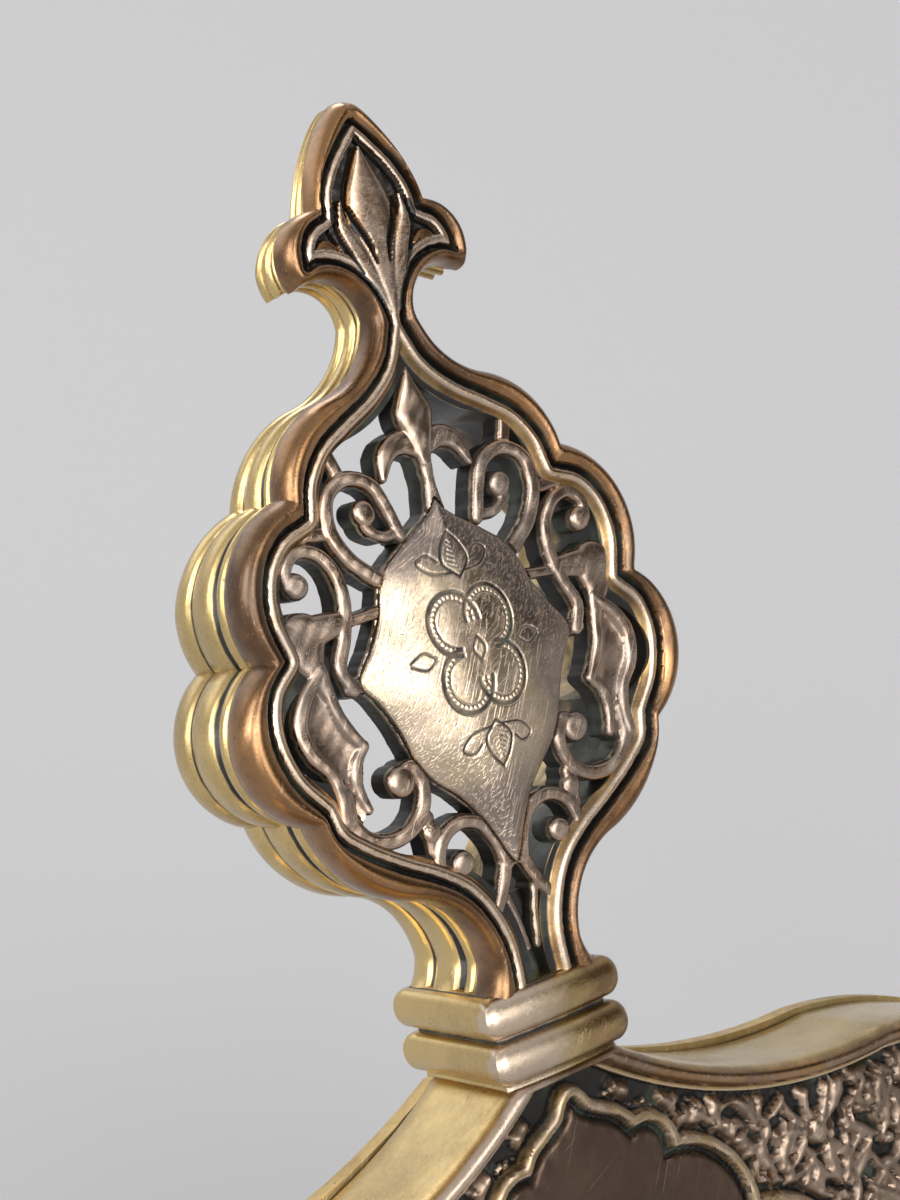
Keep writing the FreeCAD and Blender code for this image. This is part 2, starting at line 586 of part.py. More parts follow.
def hinge_bracket():
    back = FRAME_DEPTH + BACK_PLATE_THICK
    plate = box((-LUG_OUT, back, HINGE_Z - 22), (LUG_OUT, HINGE_PLATE_BACK, HINGE_Z + 22))
    upright = [e for e in plate.Edges if abs(e.BoundBox.YMax - e.BoundBox.YMin) > 2]
    plate = plate.makeFillet(5.0, upright)
    ears = []
    for side in (1, -1):
        x0, x1 = sorted((side * LUG_IN, side * LUG_OUT))
        ear = cylinder(KNUCKLE_R, (x0, HINGE_Y, HINGE_Z), (x1, HINGE_Y, HINGE_Z))
        web = Part.makePolygon([Vector(x0, back + 1, HINGE_Z - 13), Vector(x0, back + 1, HINGE_Z + 13),
                                Vector(x0, HINGE_Y + 2, HINGE_Z + 5.0), Vector(x0, HINGE_Y + 2, HINGE_Z - 5.0),
                                Vector(x0, back + 1, HINGE_Z - 13)])
        ears += [ear, Part.Face(web).extrude(Vector(x1 - x0, 0, 0))]
    bracket = fused(plate, *ears)
    bracket = bracket.cut(cylinder(PIN_R + RUN_GAP / 2, (-40, HINGE_Y, HINGE_Z), (40, HINGE_Y, HINGE_Z)))
    for side in (1, -1):
        for x, z in HINGE_SCREWS:
            bracket = bracket.cut(cylinder(1.5 + RUN_GAP, (side * x, 0, z), (side * x, 40, z)))
    return bracket


def hinge_backing():
    """A stiffening plate inside the back, which the hinge's screws are tapped into."""
    plate = box((-24, FRAME_DEPTH - 4.2, HINGE_Z - 24), (24, FRAME_DEPTH, HINGE_Z + 24))
    for side in (1, -1):
        for x, z in HINGE_SCREWS:
            plate = plate.cut(cylinder(1.5 + RUN_GAP, (side * x, 0, z), (side * x, 40, z)))
    return plate


def hinge_screws():
    return [slotted_screw((side * x, HINGE_PLATE_BACK, z), (side * x, FRAME_DEPTH - 4, z), 1.5, 2.8, 1.6)
            for side in (1, -1) for x, z in HINGE_SCREWS]


def hinge_pin():
    return cylinder(PIN_R, (-31, HINGE_Y, HINGE_Z), (31, HINGE_Y, HINGE_Z))


def hinge_pin_nuts():
    """Ball nuts on both ends of the hinge pin."""
    nuts = []
    for side in (1, -1):
        x0, x1 = sorted((side * (LUG_OUT + 0.1), side * 28.0))
        washer = cylinder(4.2, (x0, HINGE_Y, HINGE_Z), (x1, HINGE_Y, HINGE_Z))
        ball = Part.makeSphere(4.2, Vector(side * 30.0, HINGE_Y, HINGE_Z))
        nut = fused(washer, ball.common(box((min(x0, side * 40), 0, -100), (max(x0, side * 40), 60, 0))))
        nut = nut.cut(box((-LUG_OUT - 0.1, 0, -100), (LUG_OUT + 0.1, 60, 0)))
        nuts.append(nut.cut(cylinder(PIN_R + RUN_GAP, (0, HINGE_Y, HINGE_Z), (side * 31.2, HINGE_Y, HINGE_Z))))
    return nuts


def opened(shape):
    """Turns a shape drawn with the strut folded flat into the open position."""
    shape = shape.copy()
    shape.rotate(Vector(0, HINGE_Y, HINGE_Z), Vector(1, 0, 0), OPENING)
    return shape


def strut_leg():
    low = HINGE_Z - STRUT_LENGTH
    front, back = HINGE_Y - STRUT_THICK / 2, HINGE_Y + STRUT_THICK / 2
    segments = [("line", (STRUT_FOOT_HALF, low + 22)),
                ("arc", (12.4, low + 70), (STRUT_TOP_HALF, HINGE_Z - 16)),
                ("line", (STRUT_TOP_HALF, HINGE_Z))]
    leg = outline_prism((STRUT_FOOT_HALF, low), segments, front, back)
    upper = [("arc", (12.6, HINGE_Z - 30), (8.4, HINGE_Z - 20)),
             ("arc", (3.4, HINGE_Z - 17.2), (0.0, HINGE_Z - 11))]
    leg = leg.cut(outline_prism((4.0, HINGE_Z - 46), upper, 0, 60))
    slot = [("line", (5.4, HINGE_Z - 100)), ("arc", (6.6, HINGE_Z - 78), (4.4, HINGE_Z - 62)),
            ("arc", (1.6, HINGE_Z - 57), (0.0, HINGE_Z - 52))]
    leg = leg.cut(outline_prism((5.4, HINGE_Z - 128), slot, 0, 60))
    knuckle = cylinder(KNUCKLE_R, (-STRUT_TOP_HALF, HINGE_Y, HINGE_Z), (STRUT_TOP_HALF, HINGE_Y, HINGE_Z))
    stop = box((-12, HINGE_PLATE_BACK + 0.2, HINGE_Z), (12, HINGE_Y - 0.5, HINGE_Z + STOP_REACH))
    leg = opened(leg).cut(cylinder(KNUCKLE_R - 1, (-40, HINGE_Y, HINGE_Z), (40, HINGE_Y, HINGE_Z)))
    leg = leg.fuse(knuckle).fuse(stop)
    return leg.cut(cylinder(PIN_R + RUN_GAP, (-40, HINGE_Y, HINGE_Z), (40, HINGE_Y, HINGE_Z)))


# ---- feet, drawn upright on the table: y and z after leaning ----
BRACKET_SCREWS = [-48.0, -12.0]
SEAT_DEPTH = 1.6


def leaned(y, z):
    """Where a point of the panel frame goes when the back leans."""
    c, s = math.cos(math.radians(LEAN)), math.sin(math.radians(LEAN))
    return y * c + z * s, -y * s + z * c


def foot_bracket(side):
    """A scrolled bracket under the ledge with a toe and a heel on the table."""
    top_front = leaned(LEDGE_FRONT + 4, FOOT_Z - LEDGE_THICK)
    top_back = leaned(FRAME_DEPTH, FOOT_Z - LEDGE_THICK)
    x = side * BRACKET_X - BRACKET_THICK / 2
    at = lambda y, z: Vector(x, y, z)
    toe, heel = top_front[0] + 2, top_back[0] + 4
    edges = [
        Part.makeLine(at(*top_front), at(*top_back)),
        Part.Arc(at(*top_back), at(top_back[0] + 4.5, GROUND + 9), at(heel, GROUND)).toShape(),
        Part.makeLine(at(heel, GROUND), at(heel - 15, GROUND)),
        Part.Arc(at(heel - 15, GROUND), at(heel - 27, GROUND + 11), at(toe + 17, GROUND)).toShape(),
        Part.makeLine(at(toe + 17, GROUND), at(toe, GROUND)),
        Part.Arc(at(toe, GROUND), at(toe - 3, GROUND + 6), at(toe + 4.5, GROUND + 12)).toShape(),
        Part.Arc(at(toe + 4.5, GROUND + 12), at(toe + 8.0, GROUND + 26), at(*top_front)).toShape(),
    ]
    bracket = Part.Face(Part.Wire(Part.__sortEdges__(edges))).extrude(Vector(BRACKET_THICK, 0, 0))
    eye_y, eye_z = toe + 21.5, GROUND + 23
    eye = cylinder(5.0, (x - 1, eye_y, eye_z), (x + BRACKET_THICK + 1, eye_y, eye_z))
    bracket = bracket.cut(eye)
    low = FOOT_Z - LEDGE_THICK - 9.2
    for y in BRACKET_SCREWS:
        screw_hole = cylinder(1.4 + RUN_GAP, (side * BRACKET_X, y, low), (side * BRACKET_X, y, FOOT_Z))
        bracket = bracket.cut(placed(screw_hole))
    return bracket


def bracket_screws():
    """Screws down through the ledge into the brackets, their heads let in flush with the book's seat."""
    head, tip = FOOT_Z - SEAT_DEPTH, FOOT_Z - LEDGE_THICK - 9
    return [slotted_screw((side * BRACKET_X, y, head), (side * BRACKET_X, y, tip), 1.4, 2.6, 1.5)
            for side in (1, -1) for y in BRACKET_SCREWS]


def bracket_screw_seats():
    """Counterbores for the screw heads in the book's seat."""
    floor = FOOT_Z - SEAT_DEPTH
    return Part.makeCompound([cylinder(2.8, (side * BRACKET_X, y, floor), (side * BRACKET_X, y, FOOT_Z + 5))
                              for side in (1, -1) for y in BRACKET_SCREWS])


def strut_shoe():
    """The cast toe that the strut's end is let into, flat on the table."""
    y, z = strut_foot_point()
    shoe = box((-14.5, y - 9, GROUND), (14.5, y + 9, GROUND + 11))
    edges = [e for e in shoe.Edges if e.BoundBox.ZMin > GROUND + 5 or e.BoundBox.ZMax - e.BoundBox.ZMin > 5]
    return shoe.makeFillet(3.0, edges)


def strut_foot_point():
    """Where the strut's centre line meets the table, after leaning."""
    hinge = leaned(HINGE_Y, HINGE_Z)
    angle = math.radians(OPENING - LEAN)
    return hinge[0] + (hinge[1] - GROUND) * math.tan(angle), GROUND


# ---- assembly ----
def placed(shape):
    """Leans a panel-frame shape back."""
    shape = shape.copy()
    shape.rotate(Vector(0, 0, 0), Vector(1, 0, 0), -LEAN)
    return shape


def trimmed_leg():
    """The strut, cut off a little above the table so that only its shoe touches."""
    return placed(strut_leg()).cut(box((-60, -300, GROUND - 60), (60, 300, GROUND + 2.0)))


def shoe_pin(gap=0.0):
    """The pin that holds the shoe on the strut, square to the strut."""
    slope = math.radians(OPENING - LEAN)
    foot_y, _ = strut_foot_point()
    y, z = foot_y - 6.0 * math.tan(slope), GROUND + 6.0
    ends = [(0, y + k * math.cos(slope), z + k * math.sin(slope)) for k in (-6.2, 6.2)]
    return cylinder(1.5 + gap, *ends)


def grouped(shapes):
    return Part.makeCompound(shapes)


def built():
    """Every node by name, leaned but not yet moved to the origin."""
    leg, shoe = trimmed_leg(), strut_shoe()
    return {
        "finial_frame": placed(finial_frame()),
        "finial_fret": placed(finial_fret()),
        "finial_stud": placed(finial_stud()),
        "finial_washer": placed(finial_washer()),
        "finial_nut": placed(hexagon_nut((0, STUD_Y, CROWN_LOW - 4.0), 3.0, 7.8, STUD_R + RUN_GAP)),
        "head_frame": placed(head_frame()),
        "spandrel_panel": placed(spandrel_panel()),
        "rest_panel": placed(rest_panel()),
        "panel_screws": placed(grouped(panel_screws())),
        "back_plate": placed(back_plate()),
        "back_plate_screws": placed(grouped(back_plate_screws())),
        "ledge": placed(ledge().cut(bracket_screw_seats())),
        "ledge_lip": placed(ledge_lip()),
        "ledge_screws": placed(grouped(ledge_screws())),
        "lip_screws": placed(grouped(lip_screws())),
        "foot_bracket_left": foot_bracket(-1),
        "foot_bracket_right": foot_bracket(1),
        "bracket_screws": placed(grouped(bracket_screws())),
        "hinge_bracket": placed(hinge_bracket()),
        "hinge_backing": placed(hinge_backing()),
        "hinge_screws": placed(grouped(hinge_screws())),
        "hinge_pin": placed(hinge_pin()),
        "hinge_pin_nuts": placed(grouped(hinge_pin_nuts())),
        "page_finger_left": placed(page_finger(-1)),
        "page_finger_right": placed(page_finger(1)),
        "finger_screws": placed(grouped(finger_screws())),
        "finger_washers": placed(grouped(finger_washers())),
        "finger_nuts": placed(grouped(finger_nuts())),
        "strut_leg": leg.cut(shoe_pin(RUN_GAP)),
        "strut_shoe": shoe.cut(leg).cut(shoe_pin(RUN_GAP)),
        "strut_shoe_pin": shoe_pin().common(fused(shoe, leg)),
    }


def main():
    os.makedirs("parts", exist_ok=True)
    parts = built()
    bounds = FreeCAD.BoundBox()
    for shape in parts.values():
        bounds.add(shape.optimalBoundingBox())
    to_origin = Vector(-bounds.Center.x, -bounds.Center.y, -bounds.ZMin)
    for name, shape in parts.items():
        shape.translate(to_origin)
        solids = shape.Solids
        kept = solids[0] if len(solids) == 1 else Part.makeCompound(solids)
        kept.exportStep(f"parts/{name}.step")
        state = f"solids {len(solids):2d} valid {kept.isValid()} volume {kept.Volume / 1000:7.2f} cm3"
        print(f"{name:20s} {state}")
    print("panel frame origin", to_origin)
    print("hinge axis", placed(Part.Vertex(0, HINGE_Y, HINGE_Z)).Point + to_origin)
    pivot = placed(Part.Vertex(0, LIP_Y + LIP_THICK, FINGER_Z)).Point + to_origin
    print("finger pivots at x +-", FINGER_X, pivot)


main()
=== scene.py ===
"""Visual model of the cast-brass bible stand.

Pieces of the back are drawn in the panel frame, in millimetres: x to the reader's right, z up the back from the
joint under the finial's neck, and h towards the reader from the front of the pierced work.
"""

import math

import bmesh
import bpy
import numpy as np
from mathutils import Matrix, Vector


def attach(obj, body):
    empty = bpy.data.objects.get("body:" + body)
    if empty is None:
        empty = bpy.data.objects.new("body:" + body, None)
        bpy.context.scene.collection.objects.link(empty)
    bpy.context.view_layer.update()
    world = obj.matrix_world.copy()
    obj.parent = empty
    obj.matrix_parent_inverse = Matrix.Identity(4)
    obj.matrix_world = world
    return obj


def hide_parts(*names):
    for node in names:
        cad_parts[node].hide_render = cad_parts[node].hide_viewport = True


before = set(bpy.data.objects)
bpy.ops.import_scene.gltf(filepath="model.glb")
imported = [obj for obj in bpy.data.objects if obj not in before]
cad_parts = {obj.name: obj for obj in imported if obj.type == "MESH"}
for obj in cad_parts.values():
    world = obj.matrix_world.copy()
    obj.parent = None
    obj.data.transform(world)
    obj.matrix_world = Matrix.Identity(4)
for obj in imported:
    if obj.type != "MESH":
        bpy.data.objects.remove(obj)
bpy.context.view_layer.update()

# ---- the panel frame ----
LEAN = math.radians(22.0)
COS, SIN = math.cos(LEAN), math.sin(LEAN)
ORIGIN_Y, ORIGIN_Z = 36.2294, 224.0           # the neck joint, in the row frame
FINIAL_DEPTH = 16.6
RAIL_IN = 3.0                                 # the rail's width, where the foliage starts
REST_LEVEL = -0.25                            # the plain panel's surface
FLOW_SCALE = 0.1                              # millimetres to the brush marks' map
OUTSIDE = -5.0                                # the value of a field away from all its ribbons


def to_row(p):
    """Panel-frame points (x, z, h) in millimetres to row-frame metres."""
    p = np.asarray(p, float)
    x, z, y = p[:, 0], p[:, 1], -p[:, 2]
    return np.stack([x, ORIGIN_Y + y * COS + z * SIN, ORIGIN_Z - y * SIN + z * COS], 1) / 1000.0


# ---- outlines: right halves, as a start point and arcs (through a point, to a point) ----
FINIAL_START = (8.2, 9.0)
FINIAL_HALF = [
    ("arc", (6.65, 10.6), (5.8, 12.8)),
    ("arc", (7.5, 18.0), (12.6, 21.8)),
    ("arc", (19.0, 25.4), (22.6, 32.2)),
    ("arc", (28.4, 41.4), (24.2, 49.2)),
    ("arc", (24.4, 58.8), (17.8, 64.8)),
    ("arc", (15.4, 70.4), (9.6, 74.0)),
    ("arc", (4.6, 77.3), (2.8, 81.2)),
    ("arc", (4.8, 84.9), (8.6, 85.7)),
    ("line", (10.6, 85.0)),
    ("arc", (11.0, 90.0), (6.8, 93.0)),
    ("arc", (5.25, 98.0), (0.0, 105.2)),
]
HEAD_START = (100.0, -212.0)
HEAD_HALF = [
    ("line", (100.0, -70.1)),
    ("arc", (82.7, -28.3), (46.0, -11.2)),
    ("arc", (20.0, -6.9), (7.2, 0.0)),
]


def circle_through(a, b, c):
    """The centre and radius of the circle through three points."""
    (ax, az), (bx, bz), (cx, cz) = a, b, c
    d = 2 * (ax * (bz - cz) + bx * (cz - az) + cx * (az - bz))
    ux = ((ax**2 + az**2) * (bz - cz) + (bx**2 + bz**2) * (cz - az) + (cx**2 + cz**2) * (az - bz)) / d
    uz = ((ax**2 + az**2) * (cx - bx) + (bx**2 + bz**2) * (ax - cx) + (cx**2 + cz**2) * (bx - ax)) / d
    return (ux, uz), math.hypot(ax - ux, az - uz)


def turns_left(a, b, c):
    return (b[0] - a[0]) * (c[1] - a[1]) - (b[1] - a[1]) * (c[0] - a[0]) > 0


def half_turn(angle):
    """An angle brought to within half a turn of 0."""
    return (angle + math.pi) % (2 * math.pi) - math.pi


def inset_curve(start, segment, inset):
    """A segment's curve moved left by inset: ("line", point, direction) or ("circle", centre, radius)."""
    end = segment[-1]
    if segment[0] == "line":
        length = math.dist(start, end)
        along = ((end[0] - start[0]) / length, (end[1] - start[1]) / length)
        return "line", (start[0] - along[1] * inset, start[1] + along[0] * inset), along
    centre, radius = circle_through(start, segment[1], end)
    return "circle", centre, radius - inset if turns_left(start, segment[1], end) else radius + inset


def meet(first, second, near):
    """The crossing of two curves nearest to a point, or their closest approach if they only touch."""
    if first[0] == "line" and second[0] == "line":
        (_, p, d), (_, q, e) = first, second
        t = ((q[0] - p[0]) * e[1] - (q[1] - p[1]) * e[0]) / (d[0] * e[1] - d[1] * e[0])
        return p[0] + d[0] * t, p[1] + d[1] * t
    if first[0] == "line" or second[0] == "line":
        line, circle = (first, second) if first[0] == "line" else (second, first)
        (_, p, along), (_, c, r) = line, circle
        t = (c[0] - p[0]) * along[0] + (c[1] - p[1]) * along[1]
        foot = (p[0] + along[0] * t, p[1] + along[1] * t)
        half = math.sqrt(max(0.0, r * r - math.dist(foot, c) ** 2))
    else:
        (_, c, r), (_, e, q) = first, second
        gap = math.dist(e, c)
        across = ((e[0] - c[0]) / gap, (e[1] - c[1]) / gap)
        t = (gap * gap + r * r - q * q) / (2 * gap)
        foot = (c[0] + across[0] * t, c[1] + across[1] * t)
        half, along = math.sqrt(max(0.0, r * r - t * t)), (-across[1], across[0])
    options = [(foot[0] + along[0] * s * half, foot[1] + along[1] * s * half) for s in (-1, 1)]
    return min(options, key=lambda o: math.dist(o, near))


def outline(start, segments, inset, step, floor=None, top=None):
    """A closed outline from its right half, moved in by inset; floor and top are levels that cut its ends."""
    corners = [start] + [s[-1] for s in segments]
    axis = ("line", (0.0, 0.0), (0.0, 1.0))

    def level(z):
        return "line", (0.0, z), (1.0, 0.0)

    curves = [inset_curve(a, s, inset) for a, s in zip(corners, segments)]
    first = axis if start[0] == 0 else level(start[1] if floor is None else floor)
    chain = [first] + curves + [axis if top is None else level(top)]
    points = [np.array(meet(*ends)) for ends in zip(chain, chain[1:], corners)]
    half = [points[:1]]
    for i, curve in enumerate(curves):
        a, b = points[i:i + 2]
        count = max(2, int(math.dist(*corners[i:i + 2]) * 1.12 / step))
        share = np.linspace(0, 1, count + 1)[1:, None]
        if curve[0] == "line":
            half.append(a + (b - a) * share)
            continue
        centre = np.array(curve[1])
        ta, tb, was_a, was_b = (math.atan2(*(p - centre)[::-1]) for p in (a, b, *map(np.array, corners[i:i + 2])))
        usual = half_turn(was_b - was_a)
        angle = ta + (usual + half_turn(tb - ta - usual)) * share
        half.append(centre + curve[2] * np.concatenate([np.cos(angle), np.sin(angle)], 1))
    if top is not None:
        half.append([(0.0, top)])
    return both_sides(np.concatenate(half))


def both_sides(half):
    """A closed loop from a right half that runs from bottom to top."""
    left = half[::-1] * (-1, 1)
    if abs(half[-1, 0]) < 1e-6:
        left = left[1:]
    if abs(half[0, 0]) < 1e-6:
        left = left[:-1]
    return np.concatenate([half, left])


def lengths(line):
    """The distance along a line at each of its points."""
    return np.concatenate([[0], np.cumsum(np.linalg.norm(np.diff(line, axis=0), axis=1))])


def smooth_line(points, step):
    """A dense line through the points by a centripetal spline."""
    p = np.array(points, float)
    p = np.concatenate([[2 * p[0] - p[1]], p, [2 * p[-1] - p[-2]]])
    out = []
    for k in range(1, len(p) - 2):
        knots = p[k - 1:k + 3]
        t = [0.0]
        for d in np.diff(knots, axis=0):
            t.append(t[-1] + max(1e-6, math.sqrt(np.linalg.norm(d))))
        count = max(2, int(np.linalg.norm(knots[2] - knots[1]) / step))
        s = np.linspace(t[1], t[2], count, endpoint=False)[:, None]

        def blend(u, v, i, j):
            return (t[j] - s) / (t[j] - t[i]) * u + (s - t[i]) / (t[j] - t[i]) * v

        a, b, c = (blend(knots[i], knots[i + 1], i, i + 1) for i in range(3))
        out.append(blend(blend(a, b, 0, 2), blend(b, c, 1, 3), 1, 2))
    return np.concatenate([*out, p[-2][None]])


# ---- distances ----
def line_distance(x, z, line, closed=False):
    """Distance from points to a polyline."""
    if closed:
        line = np.concatenate([line, line[:1]])
    best = np.full(x.shape, 1e9)
    for (ax, az), (bx, bz) in zip(line, line[1:]):
        dx, dz = bx - ax, bz - az
        t = np.clip(((x - ax) * dx + (z - az) * dz) / (dx * dx + dz * dz + 1e-12), 0, 1)
        np.minimum(best, (x - ax - t * dx) ** 2 + (z - az - t * dz) ** 2, out=best)
    return np.sqrt(best)


def inside(x, z, loop):
    """Whether points are inside a closed loop."""
    hit = np.zeros(x.shape, bool)
    for (ax, az), (bx, bz) in zip(loop, np.roll(loop, -1, 0)):
        if az != bz:
            hit ^= ((az > z) != (bz > z)) & (x < (bx - ax) * (z - az) / (bz - az) + ax)
    return hit


def signed(x, z, loop):
    """Distance to a closed loop, above 0 inside it."""
    return np.where(inside(x, z, loop), 1.0, -1.0) * line_distance(x, z, loop, True)


def mitred(x, z, start, segments):
    """Inside distance to a symmetric outline, with mitred valleys at its cusps."""
    x = np.abs(x)
    corners = [start] + [s[-1] for s in segments]
    best = np.full(x.shape, 1e9)
    nearest = np.full(x.shape, -1)
    extended = []
    for i, segment in enumerate(segments):
        a, b = corners[i], corners[i + 1]
        kind, c, r = inset_curve(a, segment, 0.0)
        if kind == "line":
            reach = (x - a[0]) * r[0] + (z - a[1]) * r[1]
            inner = -(x - a[0]) * r[1] + (z - a[1]) * r[0]
            before, after = reach < 0, reach > math.dist(a, b)
        else:
            rho = np.hypot(x - c[0], z - c[1])
            inner = (r - rho) if turns_left(a, segment[1], b) else (rho - r)
            ta, tb = math.atan2(a[1] - c[1], a[0] - c[0]), math.atan2(b[1] - c[1], b[0] - c[0])
            sweep = half_turn(tb - ta)
            turn = (np.arctan2(z - c[1], x - c[0]) - ta) * (1 if sweep > 0 else -1)
            turn = half_turn(turn - abs(sweep) / 2) + abs(sweep) / 2
            before, after = turn < 0, turn > abs(sweep)
        extended.append(inner)
        d = np.abs(inner)
        d = np.where(before, np.hypot(x - a[0], z - a[1]), np.where(after, np.hypot(x - b[0], z - b[1]), d))
        closer = d < best - 1e-9
        best = np.where(closer, d, best)
        nearest = np.where(closer, np.where(before, i, np.where(after, i + 1, -1)), nearest)
    for k in range(1, len(segments)):
        corner = np.maximum(extended[k - 1], extended[k])
        best = np.where((nearest == k) & (corner > 0), corner, best)
    return best


# ---- reliefs: a height over an area that is cut exactly at its edge ----
def area_mesh(field, xs, zs):
    """Polygons over the part of a grid where field > 0, and the edge's segments with the area on their left."""
    step = xs[1] - xs[0]
    tiny = 0.06 * step
    f = np.where(np.abs(field) < tiny, np.where(field > 0, tiny, -tiny), field)
    ins = f > 0
    X, Z = np.meshgrid(xs, zs)
    node = np.full(f.shape, -1)
    node[ins] = np.arange(ins.sum())
    points, crossings = [np.stack([X[ins], Z[ins]], 1)], []
    for near, far, way in ((np.s_[:, :-1], np.s_[:, 1:], (step, 0)), (np.s_[:-1], np.s_[1:], (0, step))):
        cross = ins[near] != ins[far]
        t = (f[near] / (f[near] - f[far] + 1e-30))[cross]
        index = np.full(cross.shape, -1)
        index[cross] = sum(map(len, points)) + np.arange(cross.sum())
        points.append(np.stack([X[near][cross] + t * way[0], Z[near][cross] + t * way[1]], 1))
        crossings.append(index)
    across, up = crossings
    code = ins[:-1, :-1] * 1 + ins[:-1, 1:] * 2 + ins[1:, 1:] * 4 + ins[1:, :-1] * 8
    corner = [node[:-1, :-1], node[:-1, 1:], node[1:, 1:], node[1:, :-1]]
    edge = [across[:-1], up[:, 1:], across[1:], up[:, :-1]]
    faces, rim = [], []
    for case in range(1, 16):
        cells = code == case
        if not cells.any():
            continue
        on = [bool(case & (1 << k)) for k in range(4)]
        if case in (5, 10):
            # two separate corners
            for k in (k for k in range(4) if on[k]):
                a, b = edge[(k + 3) % 4][cells], edge[k][cells]
                faces.append(np.stack([a, corner[k][cells], b], 1))
                rim.append(np.stack([b, a], 1))
            continue
        order = []
        for k in range(4):
            if on[k]:
                order.append(corner[k][cells])
            if on[k] != on[(k + 1) % 4]:
                order.append(edge[k][cells])
        faces.append(np.stack(order, 1))
        if case != 15:
            out = next(k for k in range(4) if on[k] and not on[(k + 1) % 4])
            back = next(k for k in range(4) if not on[k] and on[(k + 1) % 4])
            rim.append(np.stack([edge[out][cells], edge[back][cells]], 1))
    return np.concatenate(points), faces, np.concatenate(rim)


def set_values(mesh, values):
    """Float attributes on a mesh's points."""
    for key, row in values.items():
        mesh.attributes.new(key, "FLOAT", "POINT").data.foreach_set("value", np.asarray(row, np.float32))


def new_object(name, data):
    thing = bpy.data.objects.new(name, data)
    bpy.context.scene.collection.objects.link(thing)
    return thing


def new_piece(name, points, faces, values, flow, sharp):
    """A mesh object from row-frame points and a list of polygon arrays."""
    mesh = bpy.data.meshes.new(name)
    loops = np.concatenate([f.ravel() for f in faces]).astype(np.int32)
    sizes = np.concatenate([np.full(len(f), f.shape[1]) for f in faces])
    starts = np.concatenate([[0], np.cumsum(sizes)[:-1]]).astype(np.int32)
    mesh.vertices.add(len(points))
    mesh.vertices.foreach_set("co", np.ascontiguousarray(points, np.float32).ravel())
    mesh.loops.add(len(loops))
    mesh.loops.foreach_set("vertex_index", loops)
    mesh.polygons.add(len(sizes))
    mesh.polygons.foreach_set("loop_start", starts)
    mesh.polygons.foreach_set("use_smooth", np.ones(len(sizes), bool))
    mesh.update(calc_edges=True)
    mesh.validate()
    set_values(mesh, values)
    uv = mesh.uv_layers.new(name="flow")
    index = np.empty(len(mesh.loops), np.int32)
    mesh.loops.foreach_get("vertex_index", index)
    uv.data.foreach_set("uv", np.asarray(flow, np.float32)[index].ravel())
    mesh.set_sharp_from_angle(angle=math.radians(sharp))
    return new_object(name, mesh)


def finish_piece(thing, body, slot, material, *nodes):
    thing.data.materials.append(material)
    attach(thing, body)
    if nodes:
        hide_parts(*nodes)


class Builder:
    """Collects surfaces in the panel frame into one mesh."""

    def __init__(self):
        self.points, self.faces, self.flow, self.count = [], [], [], 0
        self.values = {"copper": [], "grime": [], "wear": []}

    def add(self, points, faces, flow=None, **values):
        points = np.asarray(points, float)
        self.points.append(points)
        self.flow.append(points[:, :2] * FLOW_SCALE if flow is None else flow)
        for key, rows in self.values.items():
            rows.append(np.broadcast_to(values.get(key, 0.0), (len(points),)))
        self.faces += [f + self.count for f in faces if len(f)]
        self.count += len(points)

    def rings(self, rings, closed=False, flip=False, **values):
        """Quads between successive rings, an array (ring, point, 3), with values per ring or per point."""
        k, n = rings.shape[:2]
        index = np.arange(k * n).reshape(k, n)
        if closed:
            index = np.concatenate([index, index[:, :1]], 1)
        corners = [index[:-1, :-1], index[:-1, 1:], index[1:, 1:], index[1:, :-1]]
        quads = np.stack(corners[::-1] if flip else corners, -1).reshape(-1, 4)
        flat = {key: np.broadcast_to(v, (k, n)).ravel() for key, v in values.items()}
        across = np.concatenate([[0], np.cumsum(np.linalg.norm(np.diff(rings, axis=0), axis=2).mean(1))])
        flow = np.stack(np.broadcast_arrays(lengths(rings[0]), across[:, None]), -1).reshape(-1, 2)
        self.add(rings.reshape(-1, 3), [quads], flow * FLOW_SCALE, **flat)

    def relief(self, field, height, xs, zs, wall=None, shade=None, back=False):
        """A relief where field > 0, with a wall down its edge; height and shade are functions or constants."""
        points, faces, rim = area_mesh(field, xs, zs)
        x, z = points[:, 0], points[:, 1]
        h = height(x, z) if callable(height) else np.full(len(x), height)
        values = shade(x, z, h) if callable(shade) else shade or {}
        self.add(np.column_stack([points, h]), [f[:, ::-1] for f in faces] if back else faces, **values)
        if wall:
            self.wall(points, h, rim, wall, wall[0][2])

    def wall(self, points, h, rim, rows, top_grime):
        """A wall under a rim; its rows are (height or function, distance outwards, grime)."""
        users, where = np.unique(rim, return_inverse=True)
        where = where.reshape(rim.shape)
        edge = points[users]
        run = points[rim[:, 1]] - points[rim[:, 0]]
        normal = np.zeros_like(edge)
        for end in (0, 1):
            np.add.at(normal, where[:, end], run[:, ::-1] * (1, -1))
        normal /= np.linalg.norm(normal, axis=1)[:, None] + 1e-12
        levels, n = [np.column_stack([edge, h[users]])], len(users)
        for level, outset, _ in rows:
            to = level(edge[:, 0], edge[:, 1]) if callable(level) else np.full(n, level)
            levels.append(np.column_stack([edge + normal * outset, to]))
        a, b = where.T
        quads = [np.stack([a + (k + 1) * n, b + (k + 1) * n, b + k * n, a + k * n], 1) for k in range(len(rows))]
        grime = np.repeat([top_grime] + [dirt for _, _, dirt in rows], n)
        self.add(np.concatenate(levels), quads, grime=grime, copper=0.3)

    def build(self, name, sharp=40.0):
        values = {key: np.concatenate(rows) for key, rows in self.values.items()}
        return new_piece(name, to_row(np.concatenate(self.points)), self.faces, values,
                         np.concatenate(self.flow), sharp)


def level_ring(loop, h):
    return np.column_stack([loop, np.broadcast_to(h, len(loop))])


